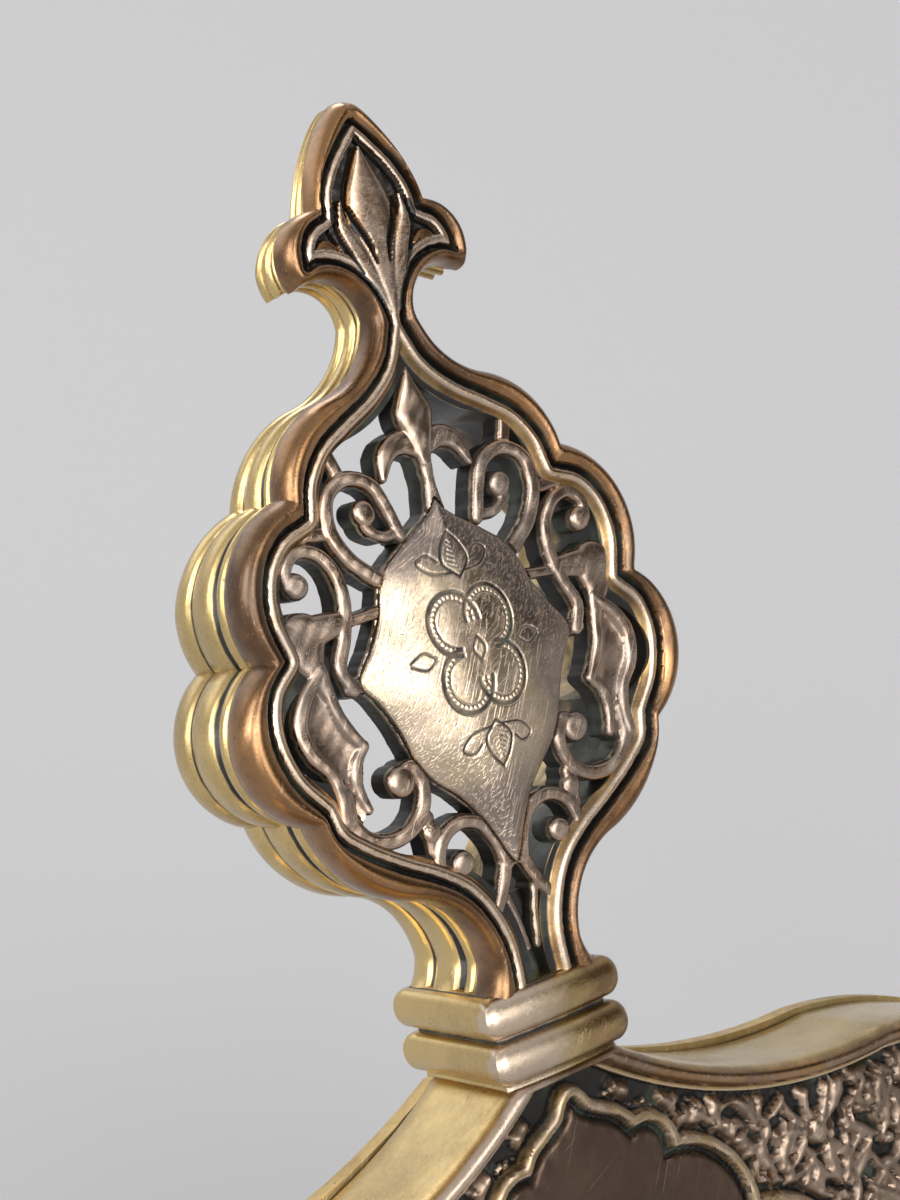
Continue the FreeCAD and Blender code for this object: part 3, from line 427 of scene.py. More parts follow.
def rounded(x0, x1, y0, y1, r, steps):
    """A rectangle's outline with round corners, each in so many steps."""
    corners = ((x1 - r, y1 - r), (x0 + r, y1 - r), (x0 + r, y0 + r), (x1 - r, y0 + r))
    turns = [(cx, cy, math.radians(90 * (q + k / steps))) for q, (cx, cy) in enumerate(corners)
             for k in range(steps + 1)]
    return [(cx + r * math.cos(a), cy + r * math.sin(a)) for cx, cy, a in turns]


def grid(x0, x1, z0, z1, step):
    return np.arange(x0, x1 + step, step), np.arange(z0, z1 + step, step)


def ease(x, low, high):
    t = np.clip((x - low) / (high - low), 0, 1)
    return t * t * (3 - 2 * t)


def ripple(x, z, a, b, c, d):
    """Low waves that stand for hand work."""
    return np.sin(a * x + b * z) * np.sin(c * z - d * x)


def strokes_field(X, Z, strokes):
    """The inside distance of the union of ribbons (centre points, widths, lift), and their highest crest."""
    field = np.full(X.shape, OUTSIDE)
    crest = field.copy()
    for centre, widths, lift in strokes:
        line = smooth_line(centre, 0.35) if len(centre) > 2 else np.array(centre, float)
        along = lengths(line)
        half = np.interp(along / along[-1], np.linspace(0, 1, len(widths)), widths) / 2
        window = window_round(X, Z, line, half.max() + 0.6)
        if window is None:
            continue
        x, z = X[window], Z[window]
        s, q = np.full(x.shape, OUTSIDE), np.full(x.shape, 9.0)
        for k in range(len(line) - 1):
            (ax, az), (bx, bz) = line[k], line[k + 1]
            dx, dz = bx - ax, bz - az
            t = np.clip(((x - ax) * dx + (z - az) * dz) / (dx * dx + dz * dz + 1e-12), 0, 1)
            w = half[k] + (half[k + 1] - half[k]) * t
            d = np.hypot(x - ax - t * dx, z - az - t * dz)
            np.maximum(s, w - d, out=s)
            np.minimum(q, d / w, out=q)
        # a negative lift makes a hollow ribbon with raised edges
        rise = -lift * (0.1 + 0.9 * q**2.2) if lift < 0 else lift * np.sqrt(np.clip(1 - q**4, 0, 1))
        field[window] = np.maximum(field[window], s)
        crest[window] = np.maximum(crest[window], np.where(q < 1, rise, OUTSIDE))
    return field, crest


def window_round(X, Z, line, pad):
    """The part of a grid round a line, or None."""
    j = (X[0] > line[:, 0].min() - pad) & (X[0] < line[:, 0].max() + pad)
    i = (Z[:, 0] > line[:, 1].min() - pad) & (Z[:, 0] < line[:, 1].max() + pad)
    return np.ix_(i, j) if i.any() and j.any() else None


def sampled(values, xs, zs):
    """A function that reads a grid between its nodes."""
    def read(x, z):
        fx, fz = (x - xs[0]) / (xs[1] - xs[0]), (z - zs[0]) / (zs[1] - zs[0])
        i = np.clip(fz.astype(int), 0, len(zs) - 2)
        j = np.clip(fx.astype(int), 0, len(xs) - 2)
        u, v = np.clip(fx - j, 0, 1), np.clip(fz - i, 0, 1)
        return ((values[i, j] * (1 - u) + values[i, j + 1] * u) * (1 - v)
                + (values[i + 1, j] * (1 - u) + values[i + 1, j + 1] * u) * v)
    return read


# ---- materials ----
class Signal:
    """A shader socket on which arithmetic builds further nodes."""

    def __init__(self, graph, socket):
        self.graph, self.socket = graph, socket

    def __add__(self, other):
        return self.graph.maths("ADD", self, other)

    def __sub__(self, other):
        return self.graph.maths("SUBTRACT", self, other)

    def __rsub__(self, other):
        return self.graph.maths("SUBTRACT", other, self)

    def __mul__(self, other):
        return self.graph.maths("MULTIPLY", self, other)

    def clamp(self):
        self.socket.node.use_clamp = True
        return self


class Graph:
    """Short forms for building a node tree."""

    def __init__(self, tree):
        self.tree = tree
        tree.nodes.clear()

    def node(self, kind, links=(), out=0, **settings):
        """A new node's output; links is {input: signal or value}."""
        made = self.tree.nodes.new(kind)
        for key, value in settings.items():
            setattr(made, key, value)
        for key, value in dict(links).items():
            if isinstance(value, Signal):
                self.tree.links.new(value.socket, made.inputs[key])
            else:
                made.inputs[key].default_value = value
        return Signal(self, made.outputs[out]) if len(made.outputs) else None

    def maths(self, operation, a, b):
        return self.node("ShaderNodeMath", {0: a, 1: b}, operation=operation)

    def ramp(self, value, low, high):
        return self.node("ShaderNodeMapRange", {"Value": value, "From Min": low, "From Max": high},
                         interpolation_type="SMOOTHSTEP")

    def mix(self, factor, a, b):
        return self.node("ShaderNodeMix", {"Factor": factor, 6: a, 7: b}, 2, data_type="RGBA")

    def noise(self, vector, scale, detail=4.0, rough=0.55, distortion=0.0):
        return self.node("ShaderNodeTexNoise", {"Vector": vector, "Scale": scale, "Detail": detail,
                                                "Roughness": rough, "Distortion": distortion})

    def stretched(self, vector, scale, turn=(0, 0, 0)):
        return self.node("ShaderNodeMapping", {"Vector": vector, "Scale": scale, "Rotation": turn})

    def scratches(self, vector, turn, density, threshold):
        """Fine straight marks: noise drawn out along one direction after a turn, thresholded."""
        turned = self.stretched(vector, (1.0, 1.0, 1.0), (-1.187, 0, turn))
        lines = self.noise(self.stretched(turned, (0.6, 30.0, 30.0)), density, 1.5, 0.5)
        return self.ramp(lines, threshold, threshold + 0.09)


YELLOW = (0.66, 0.485, 0.21, 1)
YELLOW_DEEP = (0.46, 0.32, 0.125, 1)
COPPER = (0.335, 0.18, 0.078, 1)
COPPER_DEEP = (0.12, 0.059, 0.025, 1)
PINK = (0.66, 0.53, 0.42, 1)
SILVER = (0.60, 0.56, 0.53, 1)
SOOT = (0.014, 0.0125, 0.011, 1)
GREENISH = (0.05, 0.058, 0.045, 1)

def brass(name, copper=None, silver=0.0, rough=0.3, scratch=0.5, brushed=0.35, tarnish=0.5, patch=1.0,
          light=(YELLOW, YELLOW_DEEP), dark=(COPPER, COPPER_DEEP), coat=0.0):
    """Patinated brass.  The attributes vary it over a piece: a copper tone, grime, and lighter pink metal that is
    partly rubbed wear and partly a painted highlight on the side the light comes from; copper sets the tone where
    given.
    """
    material = bpy.data.materials.new(name)
    material.use_nodes = True
    g = Graph(material.node_tree)
    place = g.node("ShaderNodeTexCoord", out="Object")
    flow = g.node("ShaderNodeUVMap", uv_map="flow")
    is_copper, low_place, rubbed_and_lit = (g.node("ShaderNodeAttribute", out="Fac", attribute_name=key)
                                    for key in ("copper", "grime", "wear"))
    coarse = g.noise(place, 70.0, 5.0, 0.62)
    medium = g.noise(place, 330.0, 5.0, 0.6, 0.4)
    fine = g.noise(place, 2200.0, 3.0, 0.6)
    brush = g.noise(g.stretched(flow, (9.0, 520.0, 1.0)), 1.0, 3.0, 0.6)
    marks = g.maths("MAXIMUM", g.scratches(place, -1.05, 150.0, 0.70 - 0.08 * scratch),
                    g.scratches(place, -0.45, 210.0, 0.72 - 0.08 * scratch))
    # brown patina that breaks up over the coppery part
    patchy = g.ramp(coarse + medium * 0.45, 0.55, 0.92)
    yellow, brown = g.mix(patchy * 0.45, *light), g.mix(patchy * patch, *dark)
    uneven = medium * 0.4 - 0.2
    base = g.mix(g.ramp(uneven + (is_copper if copper is None else copper), 0.25, 0.75), yellow, brown)
    if silver:
        base = g.mix(silver, base, SILVER)
    # lighter pink metal: rubbed wear, and on some pieces a painted highlight
    worn_and_lit = g.ramp(rubbed_and_lit + (medium * 0.7 - 0.35), 0.35, 0.95)
    base = g.mix(marks * (scratch * 0.6), g.mix(worn_and_lit * 0.85, base, PINK), PINK)
    # dark residue in the low places, a thin film in streaks, and pits, with a green cast in patches
    dirt = g.ramp(low_place + (medium * 0.5 - 0.25), 0.3, 0.7)
    film = g.ramp(coarse + fine * 0.3, 0.55, 0.85) * (tarnish * 0.35)
    streaks = g.ramp(g.noise(g.stretched(flow, (40.0, 420.0, 1.0)), 1.0, 5.0, 0.7, 0.5), 0.56, 0.76)
    pits = g.ramp(g.noise(place, 900.0, 2.0, 0.5), 0.70, 0.76)
    for layer in (g.maths("MAXIMUM", film, streaks * (tarnish * 0.3)), pits * 0.55):
        dirt = g.maths("MAXIMUM", dirt, layer)
    soot = g.mix(g.ramp(g.noise(place, 150.0, 3.0), 0.5, 0.68), SOOT, GREENISH)
    gloss = (medium - 0.5) * 0.3 + rough + (brush - 0.5) * (brushed * 0.5) + dirt * 0.28
    bumps = brush * (0.5 * brushed) + (medium + fine * 0.35) * 0.6 - marks * (scratch * 0.5) - pits * 0.6
    bump = g.node("ShaderNodeBump", {"Height": bumps, "Strength": 0.32, "Distance": 0.00012})
    shader = g.node("ShaderNodeBsdfPrincipled", {
        "Base Color": g.mix(dirt, base, soot), "Metallic": 1.0 - dirt * 0.45, "Roughness": gloss.clamp(),
        "Normal": bump, "Coat Weight": coat, "Coat Roughness": 0.1})
    g.node("ShaderNodeOutputMaterial", {"Surface": shader})
    return material


CAST = brass("cast_brass", rough=0.2, brushed=0.5, tarnish=0.9, scratch=0.45, coat=0.3)
FRETWORK = brass("fret_brass", silver=0.3, rough=0.19, scratch=0.5, tarnish=0.9)
SHIELD_METAL = brass("shield_brass", silver=0.3, rough=0.17, scratch=1.5, tarnish=1.0,
                     dark=((0.30, 0.2, 0.125, 1), (0.13, 0.078, 0.048, 1)))
RELIEF = brass("relief_brass", rough=0.38, dark=((0.33, 0.25, 0.19, 1), (0.15, 0.105, 0.075, 1)))
PANEL_METAL = brass("panel_brass", rough=0.38, scratch=0.3, tarnish=0.5, patch=0.7,
                    dark=((0.112, 0.075, 0.055, 1), (0.058, 0.037, 0.028, 1)))
BACK_METAL = brass("back_brass", copper=0.38, rough=0.38, scratch=0.8, tarnish=0.8, patch=0.6)
PLAIN = brass("plain_brass", copper=0.3, rough=0.33, scratch=0.6, tarnish=0.9, patch=0.7,
              light=((0.54, 0.39, 0.17, 1), (0.34, 0.235, 0.095, 1)))
TURNED = brass("turned_brass", copper=0.0, rough=0.24, scratch=0.3)
STEEL = brass("steel", copper=0.0, rough=0.3, scratch=0.4, light=((0.55, 0.555, 0.56, 1), (0.27, 0.255, 0.24, 1)))

# ---- finial ----
GROOVE_HALF = [
    [(4.0, 8.0), (4.0, 14.2), (5.3, 18.2), (7.2, 21.0), (10.0, 23.2), (14.0, 25.5), (18.0, 28.2), (20.5, 30.6),
     (21.3, 33.4)],
    [(21.3, 33.4), (24.0, 37.2), (25.2, 42.2), (24.2, 46.4), (21.7, 49.0)],
    [(21.7, 49.0), (22.7, 53.6), (21.8, 58.0), (19.4, 61.0), (16.0, 62.4)],
    [(16.0, 62.4), (15.0, 66.0), (12.6, 69.2), (9.4, 71.3), (5.6, 73.5), (2.6, 76.3), (0.8, 80.2)],
    [(0.8, 80.2), (1.3, 82.6), (2.5, 84.8), (4.2, 86.4), (6.2, 87.3), (8.0, 87.4), (9.3, 86.9)],
    [(9.3, 86.9), (9.1, 89.0), (8.0, 90.8), (5.9, 91.9)],
    [(5.9, 91.9), (5.6, 94.1), (4.3, 96.8), (2.2, 99.4), (0.0, 101.7)],
]
GROOVE = both_sides(np.concatenate([smooth_line(part, 0.4)[:-1] for part in GROOVE_HALF] + [GROOVE_HALF[-1][-1:]]))
WINDOW_EDGE = outline(FINIAL_HALF[0][-1], FINIAL_HALF[1:7], 4.75, 0.35, floor=9.5)
CREST_RISE, ROLL = 1.2, 1.8          # the rim's crest above the pierced work, and where it rolls over
BARB_LOW, BARB_HIGH = 80, 81         # the levels between which the rib gives way to the spade's leaf


def finial_outline(inset, step=0.42):
    return outline(FINIAL_START, FINIAL_HALF, inset, step)


def round_tip(x, z, inset):
    """Heights with the finial's tip rounded off, less so away from the edge."""
    soft = 1.1 * np.clip(1 - inset / 3.2, 0, 1)
    x = np.abs(x)
    return z - 1.3 * (np.sqrt(x**2 + soft**2) - x) * ease(z, 96, 101)


def back_depth(z):
    return np.interp(z, [40, 48, 56, 62, 68, 74, 79, 84, 88, 91, 96, 106],
                     [16.6, 16.4, 15.4, 13.6, 11.4, 9.4, 8.2, 7.4, 6.8, 5.6, 4.4, 3.8])


TULIP = [
    ([(0, 98.9), (0, 97.2), (0, 95.2), (0, 93.2), (0, 90.8), (0, 88.4), (0, 85.6), (0, 81.0)],
     [0.2, 2.7, 5.0, 6.4, 5.2, 3.6, 2.2, 0.6], 0.98),
    ([(3.7, 93.4), (3.9, 91.2), (3.0, 88.4), (1.7, 85.4), (0.4, 81.6)], [0.3, 2.0, 3.0, 2.3, 0.8], 0.92),
    ([(5.0, 91.6), (4.6, 89.8), (3.6, 87.6), (2.3, 85.2), (0.9, 81.6)], [1.0, 1.0, 1.0, 1.0, 0.8], 0.85),
    ([(4.9, 88.2), (6.2, 88.9), (7.6, 88.3)], [1.0, 1.7, 0.6], 0.42),
]
TULIP_SLITS = [
    ([(2.7, 92.6), (2.3, 90.8), (1.3, 88.8), (0.8, 86.6)], [0.25, 0.85, 0.6, 0.15], 1.0),
    ([(4.7, 92.4), (4.9, 90.6), (3.9, 88.0), (2.6, 85.6)], [0.9, 0.6, 0.5, 0.15], 1.0),
]
# the side's mouldings: depth, inset, copper, grime, wear
SIDE = [
    (1.9, 0.0, 0.95, 0, 0), (2.5, 0.03, 0.9, 0, 0), (3.2, 0.16, 0.85, 0, 0), (3.7, 0.36, 0.8, 0, 0),
    (4.0, 0.56, 0.6, 0.3, 0), (4.15, 0.68, 0.4, 0.8, 0), (4.3, 0.58, 0.2, 0.3, 0.2), (4.45, 0.42, 0, 0, 0.3),
    (4.9, 0.30, 0, 0, 0.1), (5.4, 0.34, 0, 0, 0.1), (5.7, 0.52, 0.1, 0.5, 0), (5.85, 0.85, 0.2, 0.8, 0),
    (6.1, 1.3, 0.2, 1, 0), (6.45, 1.42, 0.2, 1, 0), (6.8, 1.2, 0.2, 0.9, 0), (7.1, 0.78, 0.1, 0.7, 0),
    (7.3, 0.5, 0, 0.2, 0.1), (7.7, 0.3, 0, 0, 0.05), (8.6, 0.12, 0, 0, 0), (9.9, 0.1, 0, 0, 0),
    (11.0, 0.24, 0, 0, 0), (11.6, 0.42, 0, 0.2, 0), (11.8, 0.62, 0.1, 0.7, 0), (12.05, 0.8, 0.1, 0.9, 0),
    (12.3, 0.66, 0, 0.7, 0), (12.5, 0.4, 0, 0.1, 0.1), (13.0, 0.2, 0, 0, 0.05), (13.9, 0.06, 0, 0, 0),
    (14.9, 0.06, 0, 0, 0), (15.7, 0.26, 0, 0, 0), (16.3, 0.62, 0.1, 0.1, 0.1), (16.6, 1.1, 0.2, 0.1, 0.1),
]


def with_mirror(strokes):
    both = []
    for centre, widths, lift in strokes:
        both.append((centre, widths, lift))
        if any(abs(x) > 0.01 for x, _ in centre):
            both.append(([(-x, z) for x, z in centre], widths, lift))
    return both


def finial_frame():
    b = Builder()
    xs, zs = grid(-29.4, 29.4, 9.15, 104.6, 0.15)
    X, Z = np.meshgrid(xs, zs)
    window = signed(X, Z, WINDOW_EDGE)
    _, tulip = strokes_field(X, Z, with_mirror(TULIP))
    slits, _ = strokes_field(X, Z, with_mirror(TULIP_SLITS))
    tulip_at = sampled(np.maximum(tulip, -1.0) - 0.9 * ease(slits, -0.12, 0.12), xs, zs)
    slit_at = sampled(np.clip(slits, -0.4, 0.4), xs, zs)

    def parts(x, z):
        return mitred(x, z, FINIAL_START, FINIAL_HALF), line_distance(x, z, GROOVE, True), inside(x, z, GROOVE)

    def height(x, z):
        edge, groove, inner = parts(x, z)
        width = edge + groove
        crest = 0.5 * width
        rise = CREST_RISE - 0.25 * ease(z, 78, 84)
        outer = -ROLL + (rise + ROLL) * np.sqrt(1 - np.clip(1 - edge / crest, 0, 1) ** 2)
        inward = rise - 0.7 * np.clip((edge - crest) / (width - crest), 0, 1) ** 2
        chisel = 0.045 * ripple(x, z, 3.1, 1.7, 2.3, 1.3)
        torus = np.where(edge < crest, outer, inward) - 0.95 * (1 - ease(groove + chisel, 0.12, 0.42))
        rib = 0.66 - 0.14 * np.clip((groove - 0.85) / 0.45, -1, 1) ** 2 - 0.7 * ease(groove, 1.2, 2.0)
        rib = rib - 1.0 * (1 - ease(groove - chisel, 0.10, 0.40))
        floor = -0.7 + chisel
        leaf = np.maximum(np.where(groove < 1.25, rib, floor), np.maximum(tulip_at(x, z) - 0.22, floor))
        spade = ease(z, 80.6, 81.6)
        return np.where(inner, rib * (1 - spade) + leaf * spade, torus)

    def shade(x, z, h):
        _, groove, inner = parts(x, z)
        grime = (1 - ease(groove, 0.22, 0.44)) * 0.95
        for part, dirt in ((inner & (z > BARB_HIGH), 1 - ease(h, -0.5, 0.05)),
                           (z > BARB_LOW, ease(slit_at(x, z), -0.15, 0.05)),
                           (inner & (z < BARB_LOW), ease(groove, 1.6, 2.1) * 0.8)):
            grime = np.maximum(grime, part * dirt)
        edge_line = np.exp(-((groove - 0.48) / 0.12) ** 2) + 0.6 * np.exp(-((groove - 1.25) / 0.14) ** 2) * inner
        wear = np.where(inner, 0.3 + 0.4 * ease(h, 0.35, 0.6), 0.1) + 0.5 * edge_line
        return {"copper": 0.95 - 0.35 * inner * (z < BARB_LOW), "grime": grime, "wear": wear}

    points, faces, cut = area_mesh(np.minimum(signed(X, Z, finial_outline(0.7, 0.5)), -window), xs, zs)
    x, z = points[:, 0], points[:, 1]
    h = height(x, z)
    tip = round_tip(x, z, mitred(x, z, FINIAL_START, FINIAL_HALF))
    b.add(np.column_stack([x, tip, h]), faces, **shade(x, z, h))

    def ring(inset, depth):
        """The rim over its edge where depth is None, or a moulding of the side, closer up where it is thin."""
        loop = finial_outline(inset)
        x, z = loop[:, 0], loop[:, 1]
        squeeze = (back_depth(z) - ROLL) / (FINIAL_DEPTH - ROLL)
        h = height(x, z) if depth is None else -(ROLL + (depth - ROLL) * squeeze)
        return np.column_stack([x, round_tip(x, z, inset), h])

    rows = [(None, inset, 1, 0, 0) for inset in (0.72, 0.55, 0.4, 0.27, 0.16, 0.08, 0.03, 0.0)] + SIDE
    copper, grime, wear = np.array([row[2:] for row in rows], float).T[:, :, None]
    b.rings(np.array([ring(inset, depth) for depth, inset, *_ in rows]), copper=copper, grime=grime, wear=wear,
            flip=True)
    # the open back, on every second line of the grid
    rear = np.minimum(signed(X, Z, finial_outline(1.08)), -window)[::2, ::2]
    b.relief(rear, lambda x, z: -back_depth(z), xs[::2], zs[::2], back=True, shade={"copper": 0.25, "grime": 0.1})
    # only the window's edge has a wall; the rim's own edge is closed by the rings of the side
    ends = points[cut]
    on_window = (line_distance(ends[:, :, 0], ends[:, :, 1], WINDOW_EDGE, True) < 0.1).all(1)
    b.wall(points, h, cut[on_window], [
        (-0.4, 0.0, 0.75), (-1.4, 0.0, 0.95), (-5.0, 0.0, 0.8), (-10.0, 0.0, 0.55),
        (lambda x, z: 0.4 - back_depth(z), 0.0, 0.5), (lambda x, z: -back_depth(z), 0.0, 0.3)], 0.3)
    collar(b)
    return b.build("finial_frame_cast", 38.0)


def collar(b):
    """Two cushioned bands over a fillet, square in plan with softened corners."""
    profile = [(-0.3, 0.1, 0.5), (0.0, 0.1, 0.1), (0.3, 0.0, 0.25), (0.42, -0.1, 0.8)]      # level, out, grime
    for low in (0.45, 5.4):
        for k in range(17):
            t = math.pi * k / 16
            profile.append((low + 2.2 * (1 - math.cos(t)), 1.55 * math.sin(t) ** 0.8, 0.4 if k in (0, 16) else 0.0))
        profile += [(low + 4.45, -0.05, 0.8), (low + 4.9, -0.05, 0.45)]
    profile[-1:] = [(9.95, -0.6, 0.3), (10.15, -2.6, 0.35), (10.15, -6.6, 0.9)]
    rings = []
    for z, out, _ in profile:
        hx, hy = 7.3 + out, 7.9 + out
        rings.append([(x, z, -8.0 - y) for x, y in resample(rounded(-hx, hx, -hy, hy, 0.4, 5), 96)])
    rings = np.array(rings)
    across = rings[:, :, 0]
    front = rings[:, :, 2] > -0.6
    # a slightly crowned front
    rings[:, :, 2] += 0.55 * (1 - (across / 8.9) ** 2) * (rings[:, :, 2] > -1.5)
    # a mitre seam at the corners; the front is rubbed metal, lighter and pinker towards the left as a painted
    # highlight and browner towards the right as painted shade
    seam = np.exp(-((np.hypot(np.abs(across) - 8.3, rings[:, :, 2] - 0.9) / 1.1) ** 2))
    grime = np.array([dirt for *_, dirt in profile])[:, None]
    b.rings(rings, closed=True, copper=0.6 * front * (0.5 + 0.5 * ease(across, -3, 6)),
            grime=np.maximum(grime, 0.45 * seam), wear=front * (0.95 - 0.6 * ease(across, -5, 4)))


def resample(loop, n):
    """A closed loop's points, evenly spaced."""
    p = np.array(loop + loop[:1])
    s = lengths(p)
    t = np.linspace(0, s[-1], n, endpoint=False)
    return zip(np.interp(t, s, p[:, 0]), np.interp(t, s, p[:, 1]))


FRET = [
    ([(9.0, 54.8), (11.7, 57.4), (13.2, 61.0), (12.5, 64.1), (10.0, 65.4), (7.3, 64.4), (6.0, 61.8),
      (5.0, 58.6)], [1.9, 1.8, 1.7, 1.5], 0.5),
    ([(5.2, 59.0), (7.2, 58.9), (8.8, 60.0), (8.8, 61.7)], [1.3, 1.2, 1.7], 0.46),
    ([(8.8, 61.7), (8.7, 61.5)], [2.7, 2.7], 0.6),
    ([(19.2, 56.0), (19.2, 57.8), (17.6, 59.2), (15.4, 58.7), (13.7, 56.4), (13.4, 53.2), (14.3, 49.8),
      (15.5, 46.8), (14.6, 44.4)], [1.4, 1.6, 1.7, 1.6], 0.5),
    ([(18.4, 56.0), (18.3, 55.9)], [2.7, 2.7], 0.6),
    ([(14.4, 51.4), (17.4, 51.2), (21.0, 50.8)], [2.4, 3.4, 3.6], 0.5),
    ([(18.9, 50.8), (18.8, 48.6), (18.1, 46.2), (17.7, 44.8)], [5.2, 3.8, 1.9, 1.4], 0.5),
    ([(18.0, 47.0), (19.0, 44.0), (19.0, 40.8), (17.7, 38.0), (17.6, 35.2), (17.7, 32.4)],
      [1.6, 3.8, 5.4, 4.8, 3.2, 2.6], -0.42),
    ([(18.0, 47.2), (20.3, 44.9), (21.5, 42.2), (21.0, 39.4), (19.2, 36.8), (18.7, 34.2), (18.9, 32.0)],
      [1.3, 1.8, 1.9, 1.8, 1.5, 1.5, 1.5], 0.6),
    ([(17.8, 47.4), (17.5, 44.8), (17.0, 42.4), (16.1, 40.4), (14.9, 38.7)], [1.4, 1.5, 1.5, 1.6, 1.2], 0.56),
    ([(14.9, 38.8), (16.3, 37.0), (16.6, 34.8), (16.0, 32.4)], [1.3, 1.5, 1.4, 1.1], 0.5),
    ([(18.3, 34.6), (18.2, 31.6), (16.6, 29.4), (14.0, 28.6), (11.4, 29.2), (9.6, 31.0), (9.1, 33.6),
      (10.1, 35.3), (11.6, 34.4)], [2.0, 1.8, 1.7, 1.8], 0.5),
    ([(11.6, 34.2), (11.5, 34.1)], [3.3, 3.3], 0.6),
    ([(1.0, 22.6), (1.8, 25.2), (3.4, 27.5), (5.8, 28.2), (8.1, 27.2), (9.2, 24.9), (9.0, 22.2)],
      [1.7, 1.6, 1.6], 0.5),
    ([(9.0, 23.2), (7.6, 22.9), (6.6, 24.0)], [1.2, 1.3, 1.5], 0.45),
    ([(6.5, 24.0), (6.4, 24.1)], [2.7, 2.7], 0.6),
    ([(0.0, 27.0), (1.1, 22.8), (2.4, 19.8), (4.4, 17.0)], [2.0, 1.6, 1.4], 0.42),
    ([(2.0, 19.6), (1.2, 16.4), (0.7, 13.2)], [0.9, 0.8, 0.8], 0.05),
    ([(0.5, 66.9), (2.6, 67.9), (4.5, 67.0), (5.5, 64.6)], [1.8, 2.6, 2.2, 0.9], 0.5),
    ([(0, 75.6), (0, 72.4), (0, 69.9), (0, 67.6), (0, 65.6)], [0.2, 2.4, 4.7, 3.0, 1.6], 0.66),
    ([(0, 66.8), (0, 63.5), (0, 59.8)], [2.0, 1.4, 2.6], 0.5),
    ([(8.0, 51.6), (13.8, 51.2)], [1.3, 1.2], 0.35),
    ([(12.4, 44.8), (15.0, 44.6)], [2.0, 1.6], 0.4),
    ([(13.6, 60.4), (17.0, 60.8)], [1.5, 1.7], 0.35),
    ([(10.4, 65.2), (11.4, 68.0)], [1.5, 1.6], 0.2),
    ([(9.4, 29.8), (9.3, 26.2)], [1.6, 1.9], 0.35),
    ([(9.3, 28.3), (9.3, 28.2)], [2.3, 2.3], 0.5),
]
SHIELD_POINTS = [(0.0, 61.6), (0.9, 60.4), (3.0, 58.9), (5.6, 57.2), (8.0, 55.3), (9.2, 53.0), (9.8, 51.0),
                 (11.6, 48.0), (13.7, 44.8), (12.2, 42.4), (10.6, 39.2), (9.4, 35.8), (7.6, 33.0), (5.4, 31.0),
                 (3.4, 28.6), (1.9, 25.8), (0.8, 23.4), (0.0, 22.2)]
SHIELD_HALF = smooth_line(SHIELD_POINTS[::-1], 0.3)
SHIELD_HALF[:, 0] = np.maximum(SHIELD_HALF[:, 0], 0)
SHIELD_HALF[[0, -1], 0] = 0.0
SHIELD = both_sides(SHIELD_HALF)
FRET_BACK = -3.4


def finial_fret():
    b = Builder()
    xs, zs = grid(-25.2, 25.2, 9.3, 78.6, 0.16)
    X, Z = np.meshgrid(xs, zs)
    field, crest = strokes_field(X, Z, with_mirror(FRET))
    hole = signed(X, Z, WINDOW_EDGE)
    shield = signed(X, Z, SHIELD)
    field = np.maximum(field, shield + 0.12)
    # the work runs on over the shelf inside the rim's rib
    inner = np.minimum(field, np.maximum(hole + 0.5, np.minimum(hole + 2.8, signed(X, Z, GROOVE) - 1.25)))
    wobble = 0.07 * ripple(X, Z, 2.3, 1.1, 1.9, 0.7) + 0.03 * ripple(X, Z, 5.3, 0, 4.7, 0)
    crest_at, field_at, shield_at = (sampled(v, xs, zs) for v in (np.maximum(crest, 0.0), field, shield))

    def height(x, z):
        edge = np.clip(field_at(x, z) / 0.22, 0, 1)
        low = -0.62 + 0.22 * np.sqrt(1 - (1 - edge) ** 2)
        filed = 0.03 * np.sin(x * 0.9 + z * 1.3) + 0.012 * np.sin(3.1 * x - 2.7 * z)
        return np.where(shield_at(x, z) > -0.12, -0.5, low + crest_at(x, z)) + filed * ease(edge, 0.3, 1)

    def shade(x, z, h):
        edge = field_at(x, z)
        hollow = ease(-h, 0.0, 0.45) * ease(edge, 0.5, 1.0)
        return {"copper": 0.75, "grime": 0.5 * (1 - ease(edge, 0.02, 0.16)) + 0.45 * hollow,
                "wear": ease(h, -0.2, 0.12) * 0.58}

    wall = [(-0.85, 0.01, 0.55), (-1.3, 0.03, 0.9), (-2.2, 0.03, 1.0), (FRET_BACK, 0.0, 0.9)]
    b.relief(inner + wobble, height, xs, zs, wall=wall, shade=shade)
    xs, zs = xs[::2], zs[::2]
    b.relief(inner[::2, ::2], FRET_BACK, xs, zs, back=True, shade={"copper": 0.4, "grime": 0.5})
    # the closed recess above the neck
    b.relief(np.minimum(hole + 0.4, 19.0 - Z)[::2, ::2], lambda x, z: -2.4 + 0.15 * np.sin(3 * x + z), xs, zs,
             wall=[(-3.3, 0, 1.0)], shade={"copper": 0.3, "grime": 0.95})
    return b.build("finial_fret_scrolls", 50.0)


